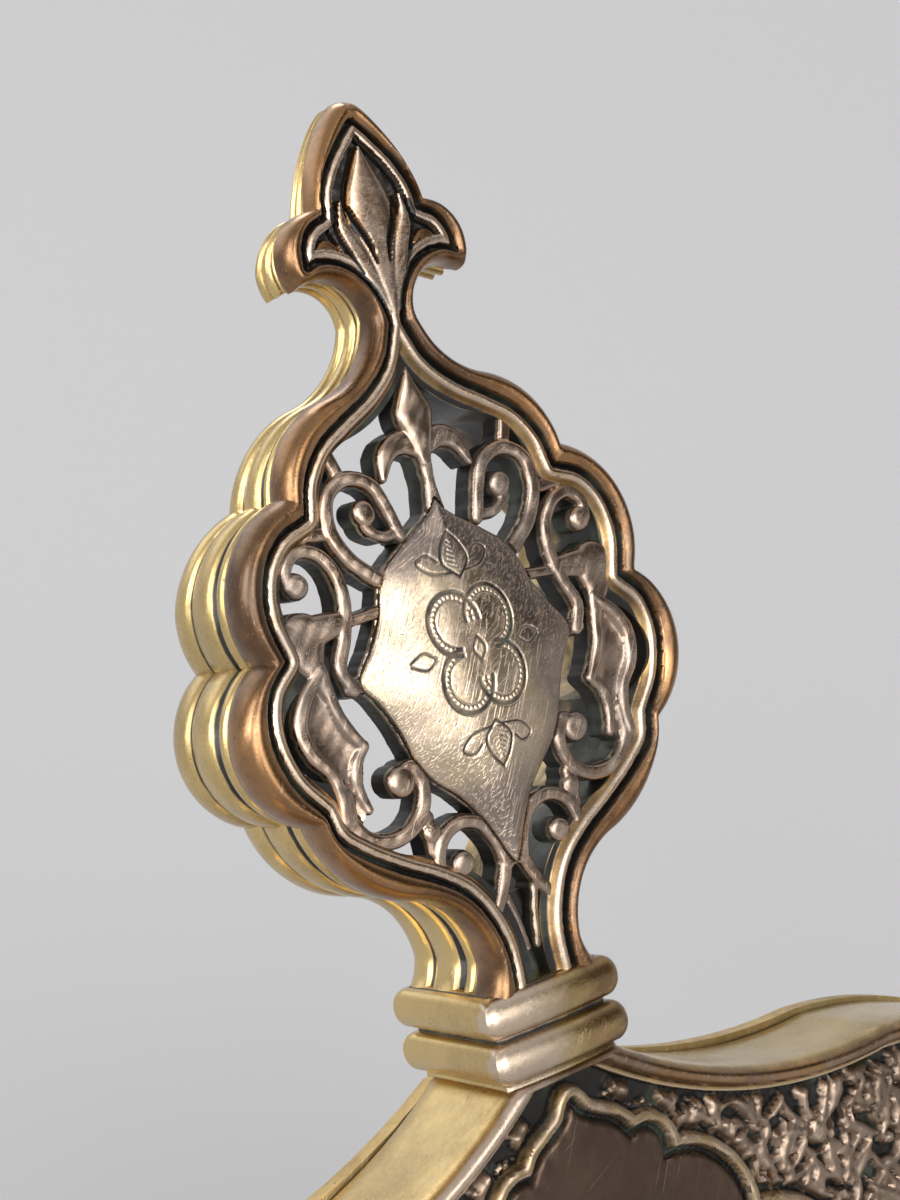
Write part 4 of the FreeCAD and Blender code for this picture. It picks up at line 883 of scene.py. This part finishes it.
def engraving():
    """A generic ornament: a quatrefoil with bands of hatching, and leaf sprays above and below it."""
    middle, lines = 45.4, []
    for quarter in range(4):
        a = math.radians(45 + 90 * quarter)
        cx, cz = 3.1 * math.cos(a), middle + 4.3 * math.sin(a)

        def polar(r, degrees):
            return cx + r * math.cos(a + math.radians(degrees)), cz + 1.12 * r * math.sin(a + math.radians(degrees))

        for radius, width, depth in ((3.0, 0.34, 0.1), (2.25, 0.14, 0.06)):
            lines.append(([polar(radius, t) for t in range(-135, 136, 15)], width, depth))
        lines += [([polar(r, 12 * k - 126) for r in (2.3, 2.95)], 0.11, 0.05) for k in range(22)]
    # each line is drawn to both sides, above and below the middle
    leaves = [
        ([(0.0, 1.3), (0.75, 0.0), (0.0, -1.3)], 0.22, 0.09),
        ([(0.0, 7.6), (1.6, 9.4), (1.2, 11.0), (0.0, 12.6)], 0.24, 0.08),
        ([(0.9, 8.2), (3.2, 8.6), (4.4, 10.0), (3.2, 10.6), (2.2, 9.8)], 0.2, 0.08),
        ([(5.2, 0.0), (6.6, 0.9), (8.2, 0.2)], 0.18, 0.07),
    ]
    leaves += [([(0.1, 8.25 + 0.5 * k), (1.25 - 0.13 * k, 8.65 + 0.5 * k)], 0.1, 0.04) for k in range(7)]
    return lines + [([(side * x, middle + end * z) for x, z in centre], width, depth)
                    for side in (1, -1) for end in (1, -1) for centre, width, depth in leaves]


def finial_shield():
    b = Builder()
    xs, zs = grid(-14.2, 14.2, 22.4, 61.8, 0.095)
    X, Z = np.meshgrid(xs, zs)
    field = signed(X, Z, SHIELD)
    cuts = np.zeros(X.shape)
    for centre, width, depth in engraving():
        line = smooth_line(centre, 0.25) if len(centre) > 2 else np.array(centre, float)
        window = window_round(X, Z, line, 0.5)
        d = line_distance(X[window], Z[window], line)
        cuts[window] = np.maximum(cuts[window], depth * (1 - ease(d, width * 0.4, width)))
    cuts_at, edge_at = sampled(cuts, xs, zs), sampled(field, xs, zs)
    # the dome follows the shield's half width, smoothed along its height
    levels = np.arange(15.0, 70.0, 0.1)
    widths = np.interp(levels, SHIELD_HALF[:, 1], SHIELD_HALF[:, 0], left=0.3, right=0.3)
    kernel = np.exp(-0.5 * (np.arange(-80, 81) / 22.0) ** 2)
    widths = np.convolve(widths, kernel / kernel.sum(), "same") * 1.06

    def height(x, z):
        middle = np.sin(np.pi * np.clip((z - 22.2) / 39.4, 0, 1))
        u = np.clip(np.abs(x) / (np.interp(z, levels, widths) + 0.1), 0, 1)
        ridge = np.sqrt(u**2 + 0.0009) - 0.03
        dome = (0.3 + 2.2 * middle ** 0.9) * (1 - np.clip(ridge, 0, 1) ** (1.2 + 0.9 * middle ** 2))
        dome = dome + 0.03 * ripple(x, z, 0.8, 0.6, 0.5, 0.9)
        rim = np.sqrt(1 - (1 - np.clip(edge_at(x, z) / 0.35, 0, 1)) ** 2)
        return -0.45 + dome * 0.94 + 0.32 * rim - cuts_at(x, z) * 1.5

    def shade(x, z, h):
        # painted light: lighter, pinker metal on the left as a painted highlight and more copper brown on the right
        # as painted shade; the top and bottom ends are browner
        side = ease(x + 0.15 * (z - 45), 1.5, 10.0)
        ends = 1 - ease(z, 27, 36) + ease(z, 51, 58)
        grime = ease(cuts_at(x, z), 0.02, 0.06) * 0.62 + 0.35 * (1 - ease(edge_at(x, z), 0.0, 0.25))
        return {"copper": np.clip(0.3 + 0.5 * side + 0.55 * ends, 0, 1), "grime": grime,
                "wear": 0.22 + 0.5 * (1 - side) - 0.35 * ends}

    b.relief(field, height, xs, zs, wall=[(-1.2, 0.02, 0.9), (FRET_BACK, 0.0, 0.9)], shade=shade)
    return b.build("finial_shield", 45.0)


# ---- back: rail, cusped rest panel and foliage ----
REST_FOILS = [(78.0, -112.0), (74.0, -94.0), (67.0, -77.0), (57.0, -61.5), (45.0, -48.0), (32.0, -36.5),
              (20.0, -25.5), (10.7, -14.2), (6.8, -10.4)]
REST_OGEE = [(6.8, -10.4), (5.3, -8.4), (3.0, -7.1), (1.2, -5.9), (0.0, -4.2)]


def head_loop(inset, step, fall=0.45):
    return outline((0.0, -212.0), [("line", HEAD_START)] + HEAD_HALF, inset, step, top=-fall * inset)


def foil(a, b, rise):
    """Points on an arc from a to b that bulges outwards (to the right of the way up)."""
    a, b = np.array(a), np.array(b)
    middle = (a + b) / 2 + (b - a)[::-1] * (rise, -rise)
    centre, radius = circle_through(tuple(a), tuple(middle), tuple(b))
    ta, tb = (math.atan2(p[1] - centre[1], p[0] - centre[0]) for p in (a, b))
    t = ta + half_turn(tb - ta) * np.linspace(0, 1, 25)[:-1]
    return np.stack([centre[0] + radius * np.cos(t), centre[1] + radius * np.sin(t)], 1)


def rest_loop():
    half = [[(0.0, -205.0), (40.0, -205.0), (78.0, -205.0), (78.0, -158.0)]]
    half += [foil(a, b, 0.24) for a, b in zip(REST_FOILS[:-1], REST_FOILS[1:-1])]
    half += [foil(*REST_FOILS[-2:], 0.36), smooth_line(REST_OGEE, 0.3)]
    half = np.concatenate(half)
    half[-1, 0] = 0.0
    return both_sides(half)


REST = rest_loop()


# the rail, from inside over the front to the back: inset, height, copper, grime, wear
RAIL = [
    (3.0, -2.2, 0.2, 1.0, 0), (3.0, -1.2, 0.3, 0.9, 0), (2.96, -0.5, 0.4, 0.4, 0.1), (2.85, -0.3, 0.4, 0, 0.9),
    (2.6, -0.22, 0.5, 0.1, 0.5), (2.45, -0.12, 0.5, 0.35, 0), (2.4, 0.1, 0.6, 0.1, 0.2),
    (2.2, 0.55, 0.7, 0, 0.5), (1.9, 0.92, 0.7, 0, 0.5), (1.55, 1.12, 0.7, 0, 0.55), (1.2, 1.18, 0.7, 0, 0.55),
    (0.85, 1.08, 0.7, 0, 0.5), (0.5, 0.78, 0.6, 0, 0.45), (0.22, 0.3, 0.5, 0, 0.2), (0.06, -0.35, 0.3, 0, 0),
    (0.0, -1.1, 0.35, 0, 0.2), (0.0, -4.0, 0.25, 0, 0), (0.0, -8.0, 0.2, 0, 0), (0.0, -12.0, 0.3, 0, 0),
    (0.02, -14.0, 0, 0.1, 0), (0.12, -14.35, 0, 0.7, 0), (0.3, -14.6, 0, 1, 0), (0.6, -14.8, 0, 1, 0),
    (4.4, -14.8, 0, 0.5, 0), (4.4, -4.7, 0, 0.5, 0),
]


def head_frame():
    b = Builder()
    rings = np.array([level_ring(head_loop(inset, 1.2), h) for inset, h, *_ in RAIL])
    copper, grime, wear = np.array([row[2:] for row in RAIL], float).T[:, :, None]
    # painted highlight: the rail is made lighter and pinker on the reader's left, the side the light comes from,
    # and a little darker on the right
    b.rings(rings, closed=True, copper=copper, grime=grime, wear=wear * np.where(rings[:, :, 0] < 0, 1.7, 0.9))
    # the crown block that the finial's stud passes through, and the lugs for the panel screws
    block(b, (-9, -12, -14.7), (9, -4.5, -4.8))
    for side in (1, -1):
        x0, x1 = sorted((side * 83.6, side * 95.6))
        for z in (-82, -140, -196):
            block(b, (x0, z - 5, -10.6), (x1, z + 5, -4.7))
    return b.build("head_frame_rail", 42.0)


def block(b, low, high, soft=0.5):
    """A cast block with softened edges."""
    (x0, z0, h0), (x1, z1, h1) = low, high
    some = soft * 0.3
    levels = ((h0, soft), (h0 + some, some), (h0 + soft, 0), (h1 - soft, 0), (h1 - some, some), (h1, soft))
    rings = [[(x, z, h) for x, z in rounded(x0 + i, x1 - i, z0 + i, z1 - i, soft + 0.6, 4)] for h, i in levels]
    b.rings(np.array(rings), closed=True)
    n = len(rings[0])
    fan = np.stack([np.arange(n), (np.arange(n) + 1) % n, np.full(n, n)], 1)
    for ring, faces in ((rings[0], fan[:, ::-1]), (rings[-1], fan)):
        b.add(np.concatenate([ring, [np.mean(ring, 0)]]), [faces])


def rest_panel():
    b = Builder()
    xs, zs = grid(-81.6, 81.6, -208.6, -2.0, 0.3)
    X, Z = np.meshgrid(xs, zs)
    near = np.full(X.shape, -9.0)
    band = rough_band(X, Z, REST, 4.0)
    near[band] = signed(X[band], Z[band], REST)
    at = sampled(near, xs, zs)

    def height(x, z):
        d = at(x, z)
        panel = REST_LEVEL - 0.5 * (1 - ease(d, -0.05, 0.4))
        rib = 0.34 - 0.5 * np.clip((np.abs(d + 1.4) - 0.2) / 0.55, 0, 1) ** 2
        rib = rib - 1.1 * (1 - ease(-d, 0.55, 0.85)) - 1.7 * ease(-d, 1.95, 2.4)
        return np.where(d > 0.02, panel, rib) + 0.05 * ripple(x, z, 1.9, 1.2, 1.4, 1.1) * (1 - ease(d, 0.8, 1.6))

    def shade(x, z, h):
        d = at(x, z)
        grime = (1 - ease(np.abs(d + 0.3), 0.3, 0.52)) + ease(-d, 1.95, 2.3) * 0.9
        wear = 0.45 + 0.4 * np.exp(-((d + 1.0) / 0.18) ** 2) + 0.3 * np.exp(-((d + 1.8) / 0.2) ** 2)
        return {"copper": np.where(d < 0, 0.55, 0.9), "grime": np.clip(grime, 0, 1), "wear": wear * (d < 0)}

    # the cusped rib on a fine grid, and the plain field inside it on a coarse one, just below
    b.relief(np.minimum(near + 2.5, 2.6 - near), height, xs, zs, shade=shade)
    xs, zs = grid(-81.6, 81.6, -208.6, -2.0, 2.0)
    b.relief(signed(*np.meshgrid(xs, zs), REST) - 2.2, REST_LEVEL - 0.003, xs, zs, shade={"copper": 0.9})
    return b.build("rest_panel_cusped", 45.0)


def rough_band(X, Z, loop, reach):
    """Grid points within reach of a loop, found cheaply."""
    step = X[0, 1] - X[0, 0]
    mask = np.zeros(X.shape, bool)
    k = int(reach / step) + 1
    for a, c in zip(loop, np.roll(loop, -1, 0)):
        n = max(1, int(np.linalg.norm(c - a) / (reach * 0.4)))
        for x, z in (a + (c - a) * q / n for q in range(n + 1)):
            i, j = int((z - Z[0, 0]) / step), int((x - X[0, 0]) / step)
            mask[max(0, i - k):i + k + 1, max(0, j - k):j + k + 1] = True
    return mask


def blade(root, turn, length, width, bend, lift):
    """A pointed blade from its root, curling to one side."""
    c, s = math.cos(turn), math.sin(turn)
    at = [(root[0] + length * (u * c - v * bend * s), root[1] + length * (u * s + v * bend * c))
          for u, v in ((0, 0), (0.35, 0.1), (0.7, 0.05), (1.0, -0.22))]
    return at, [0.55 * width, 0.95 * width, width, 0.25 * width], lift


# running stems on the right half: points, then the run and the free width beside the stem at it
STEMS = [
    ([(4.6, -4.9), (9.5, -9.0), (15.0, -13.2), (21.5, -17.2), (29.5, -21.4), (38.5, -26.0), (48.0, -30.8),
      (57.5, -36.8), (66.0, -45.0), (73.0, -55.0), (79.5, -66.0), (83.8, -79.0), (86.6, -94.0), (88.0, -110.0),
      (88.6, -126.0), (88.6, -142.0), (88.6, -158.0), (88.6, -174.0), (88.6, -190.0), (88.4, -203.0)],
      [0, 8, 16, 30, 50, 72, 95, 110, 400], [1.8, 2.8, 4.2, 6.6, 9.0, 10.0, 10.0, 8.8, 8.2]),
    ([(38.0, -17.2), (52.0, -22.0), (63.5, -28.0), (73.5, -36.6), (81.5, -47.5), (87.5, -60.0), (91.0, -73.0),
      (92.6, -88.0)], [0, 20, 60, 90, 100], [3.6, 6.4, 7.0, 5.0, 4.0]),
    ([(44.0, -38.5), (51.0, -44.0), (59.0, -52.0), (66.5, -62.5), (73.0, -75.0), (77.8, -89.0), (80.6, -103.0)],
      [0, 15, 50, 80], [3.6, 6.0, 6.0, 4.2]),
]


def foliage():
    """Ribbons of the running foliage on the right half, from the neck down the spandrel to the foot."""
    parts = []
    for path, at, free in STEMS:
        line = smooth_line(path, 0.5)
        run = lengths(line)
        parts += spray(line, run, np.interp(run, at, free))
    return parts


def towards(angle):
    return np.array([math.cos(angle), math.sin(angle)])


def spray(line, run, room):
    """One stem with its scrolls, bosses and blades; run and room are the length and the free width along it."""
    parts = []
    side, s, count = 1, 2.0, 0
    while s < run[-1] - 4:
        k = int(np.searchsorted(run, s))
        p, width = line[k], room[k]
        ahead = line[min(k + 4, len(line) - 1)] - line[max(k - 4, 0)]
        heading = math.atan2(ahead[1], ahead[0])
        out = heading + side * math.pi / 2
        pitch = max(3.4, width * 0.8)
        count += 1
        end = line[min(int(np.searchsorted(run, s + pitch)), len(line) - 1)]
        wave = p + (end - p) * 0.5 - side * towards(heading + math.pi / 2) * width * 0.2
        parts.append(([p, wave, end], [1.1, 1.5, 1.1], 0.7))
        centre = p + towards(out) * width * 0.46
        dot = [centre, centre + (0.1, 0)]
        if count % 3 == 0:
            # a seeded boss inside a ring
            reach = min(width * 0.3, 2.6)
            ring = [centre + towards(a) * reach * 1.15 for a in np.linspace(0, 2 * math.pi, 13)]
            parts += [(dot, [reach * 1.5] * 2, 0.95), (ring, [0.8, 0.8], 0.65)]
        else:
            scroll = [centre + towards(out + math.pi + side * q * 0.55) * width * 0.36 * (1 - q / 13.0)
                      for q in range(11)]
            parts += [(scroll, [1.2, 1.5, 1.3, 1.1, 1.0], 0.8), (dot, [width * 0.2] * 2, 0.9)]
        # upright blades that fill towards the rail, and shorter ones towards the panel
        stout = min(width, 9.0)
        for j in range(7):
            turn = math.pi / 2 + (j - 3) * 0.36 + 0.22 * math.sin(7.1 * count + 2.3 * j)
            length = min(width * (0.62 + 0.3 * abs(math.sin(3.7 * count + 1.9 * j))), 7.5)
            parts.append(blade(centre + towards(turn) * width * 0.2, turn, length, 0.75 + 0.09 * stout,
                               math.sin(5.3 * count + j), 0.75 + 0.15 * math.sin(2.9 * j + count)))
        for j in range(4):
            turn = out + math.pi + (j - 1.5) * 0.5 + 0.2 * math.sin(4.1 * count + 1.7 * j)
            parts.append(blade(p, turn, min(width * 0.66, 5.5), 0.7 + 0.08 * stout,
                               math.sin(3.1 * count + 2 * j), 0.7))
        s += pitch
        side = -side
    return parts


def spandrel_panel():
    """The right half of the relief, its mirror image, and the plate behind them."""
    b = Builder()
    step = 0.34
    xs, zs = grid(-step, 97.2, -209.6, -1.2, step)
    X, Z = np.meshgrid(xs, zs)
    rail = head_loop(RAIL_IN, 1.0)
    far = 9.0
    border = np.full(X.shape, far)
    for loop, reach, sense, shift in ((rail, 3.0, 1, -0.05), (REST, 6.0, -1, -2.3)):
        band = rough_band(X, Z, loop, reach)
        border[band] = np.minimum(border[band], signed(X[band], Z[band], loop) * sense + shift)
    between = inside(X, Z, rail) & ~inside(X, Z, REST)
    border = np.where((border == far) & ~between, -far, border)
    field, crest = strokes_field(X, Z, foliage())
    crest = np.clip(crest, -0.02, None) * ease(border, 0.15, 1.1)
    vein = 0.5 + 0.5 * np.sin(2.6 * X + 1.4 * np.sin(0.9 * Z)) * np.sin(2.9 * Z + 1.2 * np.sin(1.1 * X))
    crest_at, edge_at, vein_at = (sampled(v, xs, zs) for v in (crest, np.clip(field, -0.6, 1.5), vein))
    points, faces, _ = area_mesh(np.minimum(border, X + 0.001), xs, zs)
    x, z = points[:, 0], points[:, 1]
    rise = np.clip(crest_at(np.abs(x), z), 0, None)
    h = -1.62 + (0.55 + 1.15 * rise) * ease(edge_at(np.abs(x), z), -0.12, 0.22) * (rise > 0)
    h = h - 0.10 * vein_at(np.abs(x), z) * (rise > 0.1) + 0.03 * ripple(x, z, 3.1, 0, 2.7, 0)
    values = {"copper": 0.85, "grime": 1.0 - 0.97 * ease(h, -1.35, -0.75), "wear": 0.42 * ease(h, -0.85, -0.1)}
    b.add(np.column_stack([points, h]), faces, **values)
    b.add(np.column_stack([-x, z, h]), [f[:, ::-1] for f in faces], **values)
    b.rings(np.array([level_ring(head_loop(inset, 3.0, 0.6), h)
                      for h, inset in ((-2.4, 4.45), (-4.4, 4.45), (-4.6, 4.7))]), closed=True)
    xs, zs = grid(-96, 96, -208, -2, 2.0)
    b.relief(signed(*np.meshgrid(xs, zs), head_loop(4.6, 3.0, 0.6)), -4.6, xs, zs, back=True)
    return b.build("spandrel_foliage", 60.0)


def softened(node_name, width, body, slot, material):
    """A solid's own surfaces with its edges rounded over, coppery on the faces that look at the reader."""
    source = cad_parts[node_name]
    mesh = source.data.copy()
    mesh.name = node_name + "_soft"
    thing = new_object(mesh.name, mesh)
    thing.matrix_world = source.matrix_world.copy()
    bm = bmesh.new()
    bm.from_mesh(mesh)
    bmesh.ops.remove_doubles(bm, verts=bm.verts, dist=1e-6)
    bmesh.ops.dissolve_limit(bm, angle_limit=math.radians(0.6), verts=bm.verts, edges=bm.edges)
    sharp = [e for e in bm.edges if len(e.link_faces) == 2 and e.calc_face_angle(0) > math.radians(32)]
    bmesh.ops.bevel(bm, geom=sharp, offset=width / 1000, segments=3, profile=0.6, affect="EDGES",
                    clamp_overlap=True, offset_type="OFFSET")
    bmesh.ops.dissolve_degenerate(bm, dist=1e-7, edges=bm.edges)
    for f in bm.faces:
        f.smooth = True
    bm.to_mesh(mesh)
    bm.free()
    mesh.materials.clear()
    normals = np.empty(len(mesh.vertices) * 3, np.float32)
    mesh.vertices.foreach_get("normal", normals)
    _, y, z = normals.reshape(-1, 3).T
    set_values(mesh, {"copper": 0.8 * ease(z * SIN - y * COS, 0.3, 0.8), "grime": 0 * y, "wear": 0 * y})
    mesh.set_sharp_from_angle(angle=math.radians(35))
    finish_piece(thing, body, slot, material, node_name)


finish_piece(finial_frame(), "stand", "cast", CAST, "finial_frame")
finish_piece(finial_fret(), "stand", "cast", FRETWORK, "finial_fret")
finish_piece(finial_shield(), "stand", "cast", SHIELD_METAL)
finish_piece(head_frame(), "stand", "cast", CAST, "head_frame")
finish_piece(rest_panel(), "stand", "sheet", PANEL_METAL, "rest_panel")
finish_piece(spandrel_panel(), "stand", "relief", RELIEF, "spandrel_panel")

# plain solids: edge radius, body, slot, metal
SOFTENED = {
    "ledge": (0.5, "stand", "cast", PLAIN),
    "ledge_lip": (0.7, "stand", "cast", PLAIN),
    "back_plate": (0.35, "stand", "sheet", BACK_METAL),
    "foot_bracket_left": (0.8, "stand", "cast", PLAIN),
    "foot_bracket_right": (0.8, "stand", "cast", PLAIN),
    "hinge_bracket": (0.6, "stand", "cast", PLAIN),
    "hinge_backing": (0.4, "stand", "steel", STEEL),
    "strut_leg": (0.7, "strut", "cast", PLAIN),
    "strut_shoe": (0.5, "strut", "cast", PLAIN),
    "page_finger_left": (0.45, "page_finger_left", "sheet", PLAIN),
    "page_finger_right": (0.45, "page_finger_right", "sheet", PLAIN),
    "finger_screws": (0.2, "stand", "fixings", TURNED),
    "finger_nuts": (0.2, "stand", "fixings", TURNED),
    "hinge_pin_nuts": (0.25, "stand", "fixings", TURNED),
    "hinge_screws": (0.2, "stand", "fixings", TURNED),
    "back_plate_screws": (0.15, "stand", "fixings", TURNED),
    "ledge_screws": (0.2, "stand", "fixings", TURNED),
    "lip_screws": (0.15, "stand", "fixings", TURNED),
    "bracket_screws": (0.2, "stand", "fixings", TURNED),
}
for name, settings in SOFTENED.items():
    softened(name, *settings)
for name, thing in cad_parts.items():
    thing.data.materials.clear()
    thing.data.materials.append(STEEL if name in ("finial_stud", "hinge_pin") else TURNED)

# ---- floor, light and camera ----
paper = bpy.data.materials.new("floor_paper")
paper.use_nodes = True
paper.node_tree.nodes["Principled BSDF"].inputs["Base Color"].default_value = (0.425, 0.423, 0.429, 1)
paper.node_tree.nodes["Principled BSDF"].inputs["Roughness"].default_value = 0.9
floor_mesh = bpy.data.meshes.new("floor")
floor_mesh.from_pydata([(-30, -30, 0), (30, -30, 0), (30, 30, 0), (-30, 30, 0)], [], [(0, 1, 2, 3)])
floor_mesh.materials.append(paper)
floor = new_object("floor", floor_mesh)

world = bpy.data.worlds.new("studio")
bpy.context.scene.world = world
world.use_nodes = True
studio = Graph(world.node_tree)
way = studio.node("ShaderNodeTexCoord", out="Generated")


def lobe(direction, low, high):
    """1 towards a direction and 0 away from it."""
    unit = tuple(Vector(direction).normalized())
    dot = studio.node("ShaderNodeVectorMath", {0: way, 1: unit}, "Value", operation="DOT_PRODUCT")
    return studio.ramp(dot, low, high)


UP = (0, 0, 1)
sky = studio.mix(lobe(UP, 0.1, 0.9), (0.555, 0.555, 0.565, 1), (0.66, 0.66, 0.68, 1))
# one dark panel and four bright ones: direction, cosines of the fade, colour
for direction, fade_from, fade_to, colour in [
        ((0.66, -0.70, 0.24), 0.74, 0.96, (0.05, 0.042, 0.036, 1)),
        ((0.02, -0.93, 0.32), 0.90, 0.965, (4.0, 3.95, 3.9, 1)),
        ((-0.9, -0.1, 0.45), 0.86, 0.95, (2.4, 2.4, 2.4, 1)),
        ((-0.73, -0.62, 0.30), 0.95, 0.985, (6.5, 6.5, 6.5, 1)),
        ((-0.3, 0.93, 0.26), 0.88, 0.95, (1.5, 1.5, 1.5, 1))]:
    sky = studio.mix(lobe(direction, fade_from, fade_to), sky, colour)
# a plain pale horizon all round, as bright as the floor
sky = studio.mix(lobe(UP, 0.08, 0.22), (0.575, 0.573, 0.58, 1), sky)
shine = studio.node("ShaderNodeBackground", {"Color": sky, "Strength": 1.0})
studio.node("ShaderNodeOutputWorld", {"Surface": shine})


def light(name, kind, place, aim, energy, colour, **settings):
    data = bpy.data.lights.new(name, kind)
    data.energy, data.color = energy, colour
    for key, value in settings.items():
        setattr(data, key, value)
    lamp = new_object(name, data)
    lamp.location = place
    lamp.rotation_euler = (Vector(aim) - Vector(place)).to_track_quat("-Z", "Y").to_euler()


# the suns are broad and soft, so the floor is lit alike out to the horizon
NO_AIM = (0, 0, 0)
light("key", "SUN", (-1.2, -3.2, 2.34), NO_AIM, 1.08, (1.0, 0.985, 0.96), angle=math.radians(22))
light("side", "AREA", (-3.4, 0.6, 1.6), (0.0, 0.05, 0.26), 40.0, (1.0, 0.99, 0.97), shape="RECTANGLE", size=1.2,
      size_y=2.0)
light("rear", "SUN", (1.2, 3.4, 2.54), NO_AIM, 0.6, (1, 1, 1), angle=math.radians(26))

camera_data = bpy.data.cameras.new("camera")
camera_data.lens = 58.0
camera_data.sensor_width = 36.0
camera_data.clip_start = 0.01
camera = new_object("camera", camera_data)
bpy.context.scene.camera = camera
# the camera's place, and its right and up directions, in the panel frame
place, right, up, origin = to_row([(-113.7, 59.8, 167.1), (0.8026, -0.2221, 0.5536),
                                   (0.2084, 0.974, 0.0886), (0, 0, 0)])
right, up = Vector(right - origin).normalized(), Vector(up - origin).normalized()
back = right.cross(up).normalized()
up = back.cross(right)
turn = Matrix((right, up, back)).transposed()
camera.matrix_world = Matrix.Translation(place) @ turn.to_4x4()

bpy.context.scene.view_settings.view_transform = "Standard"
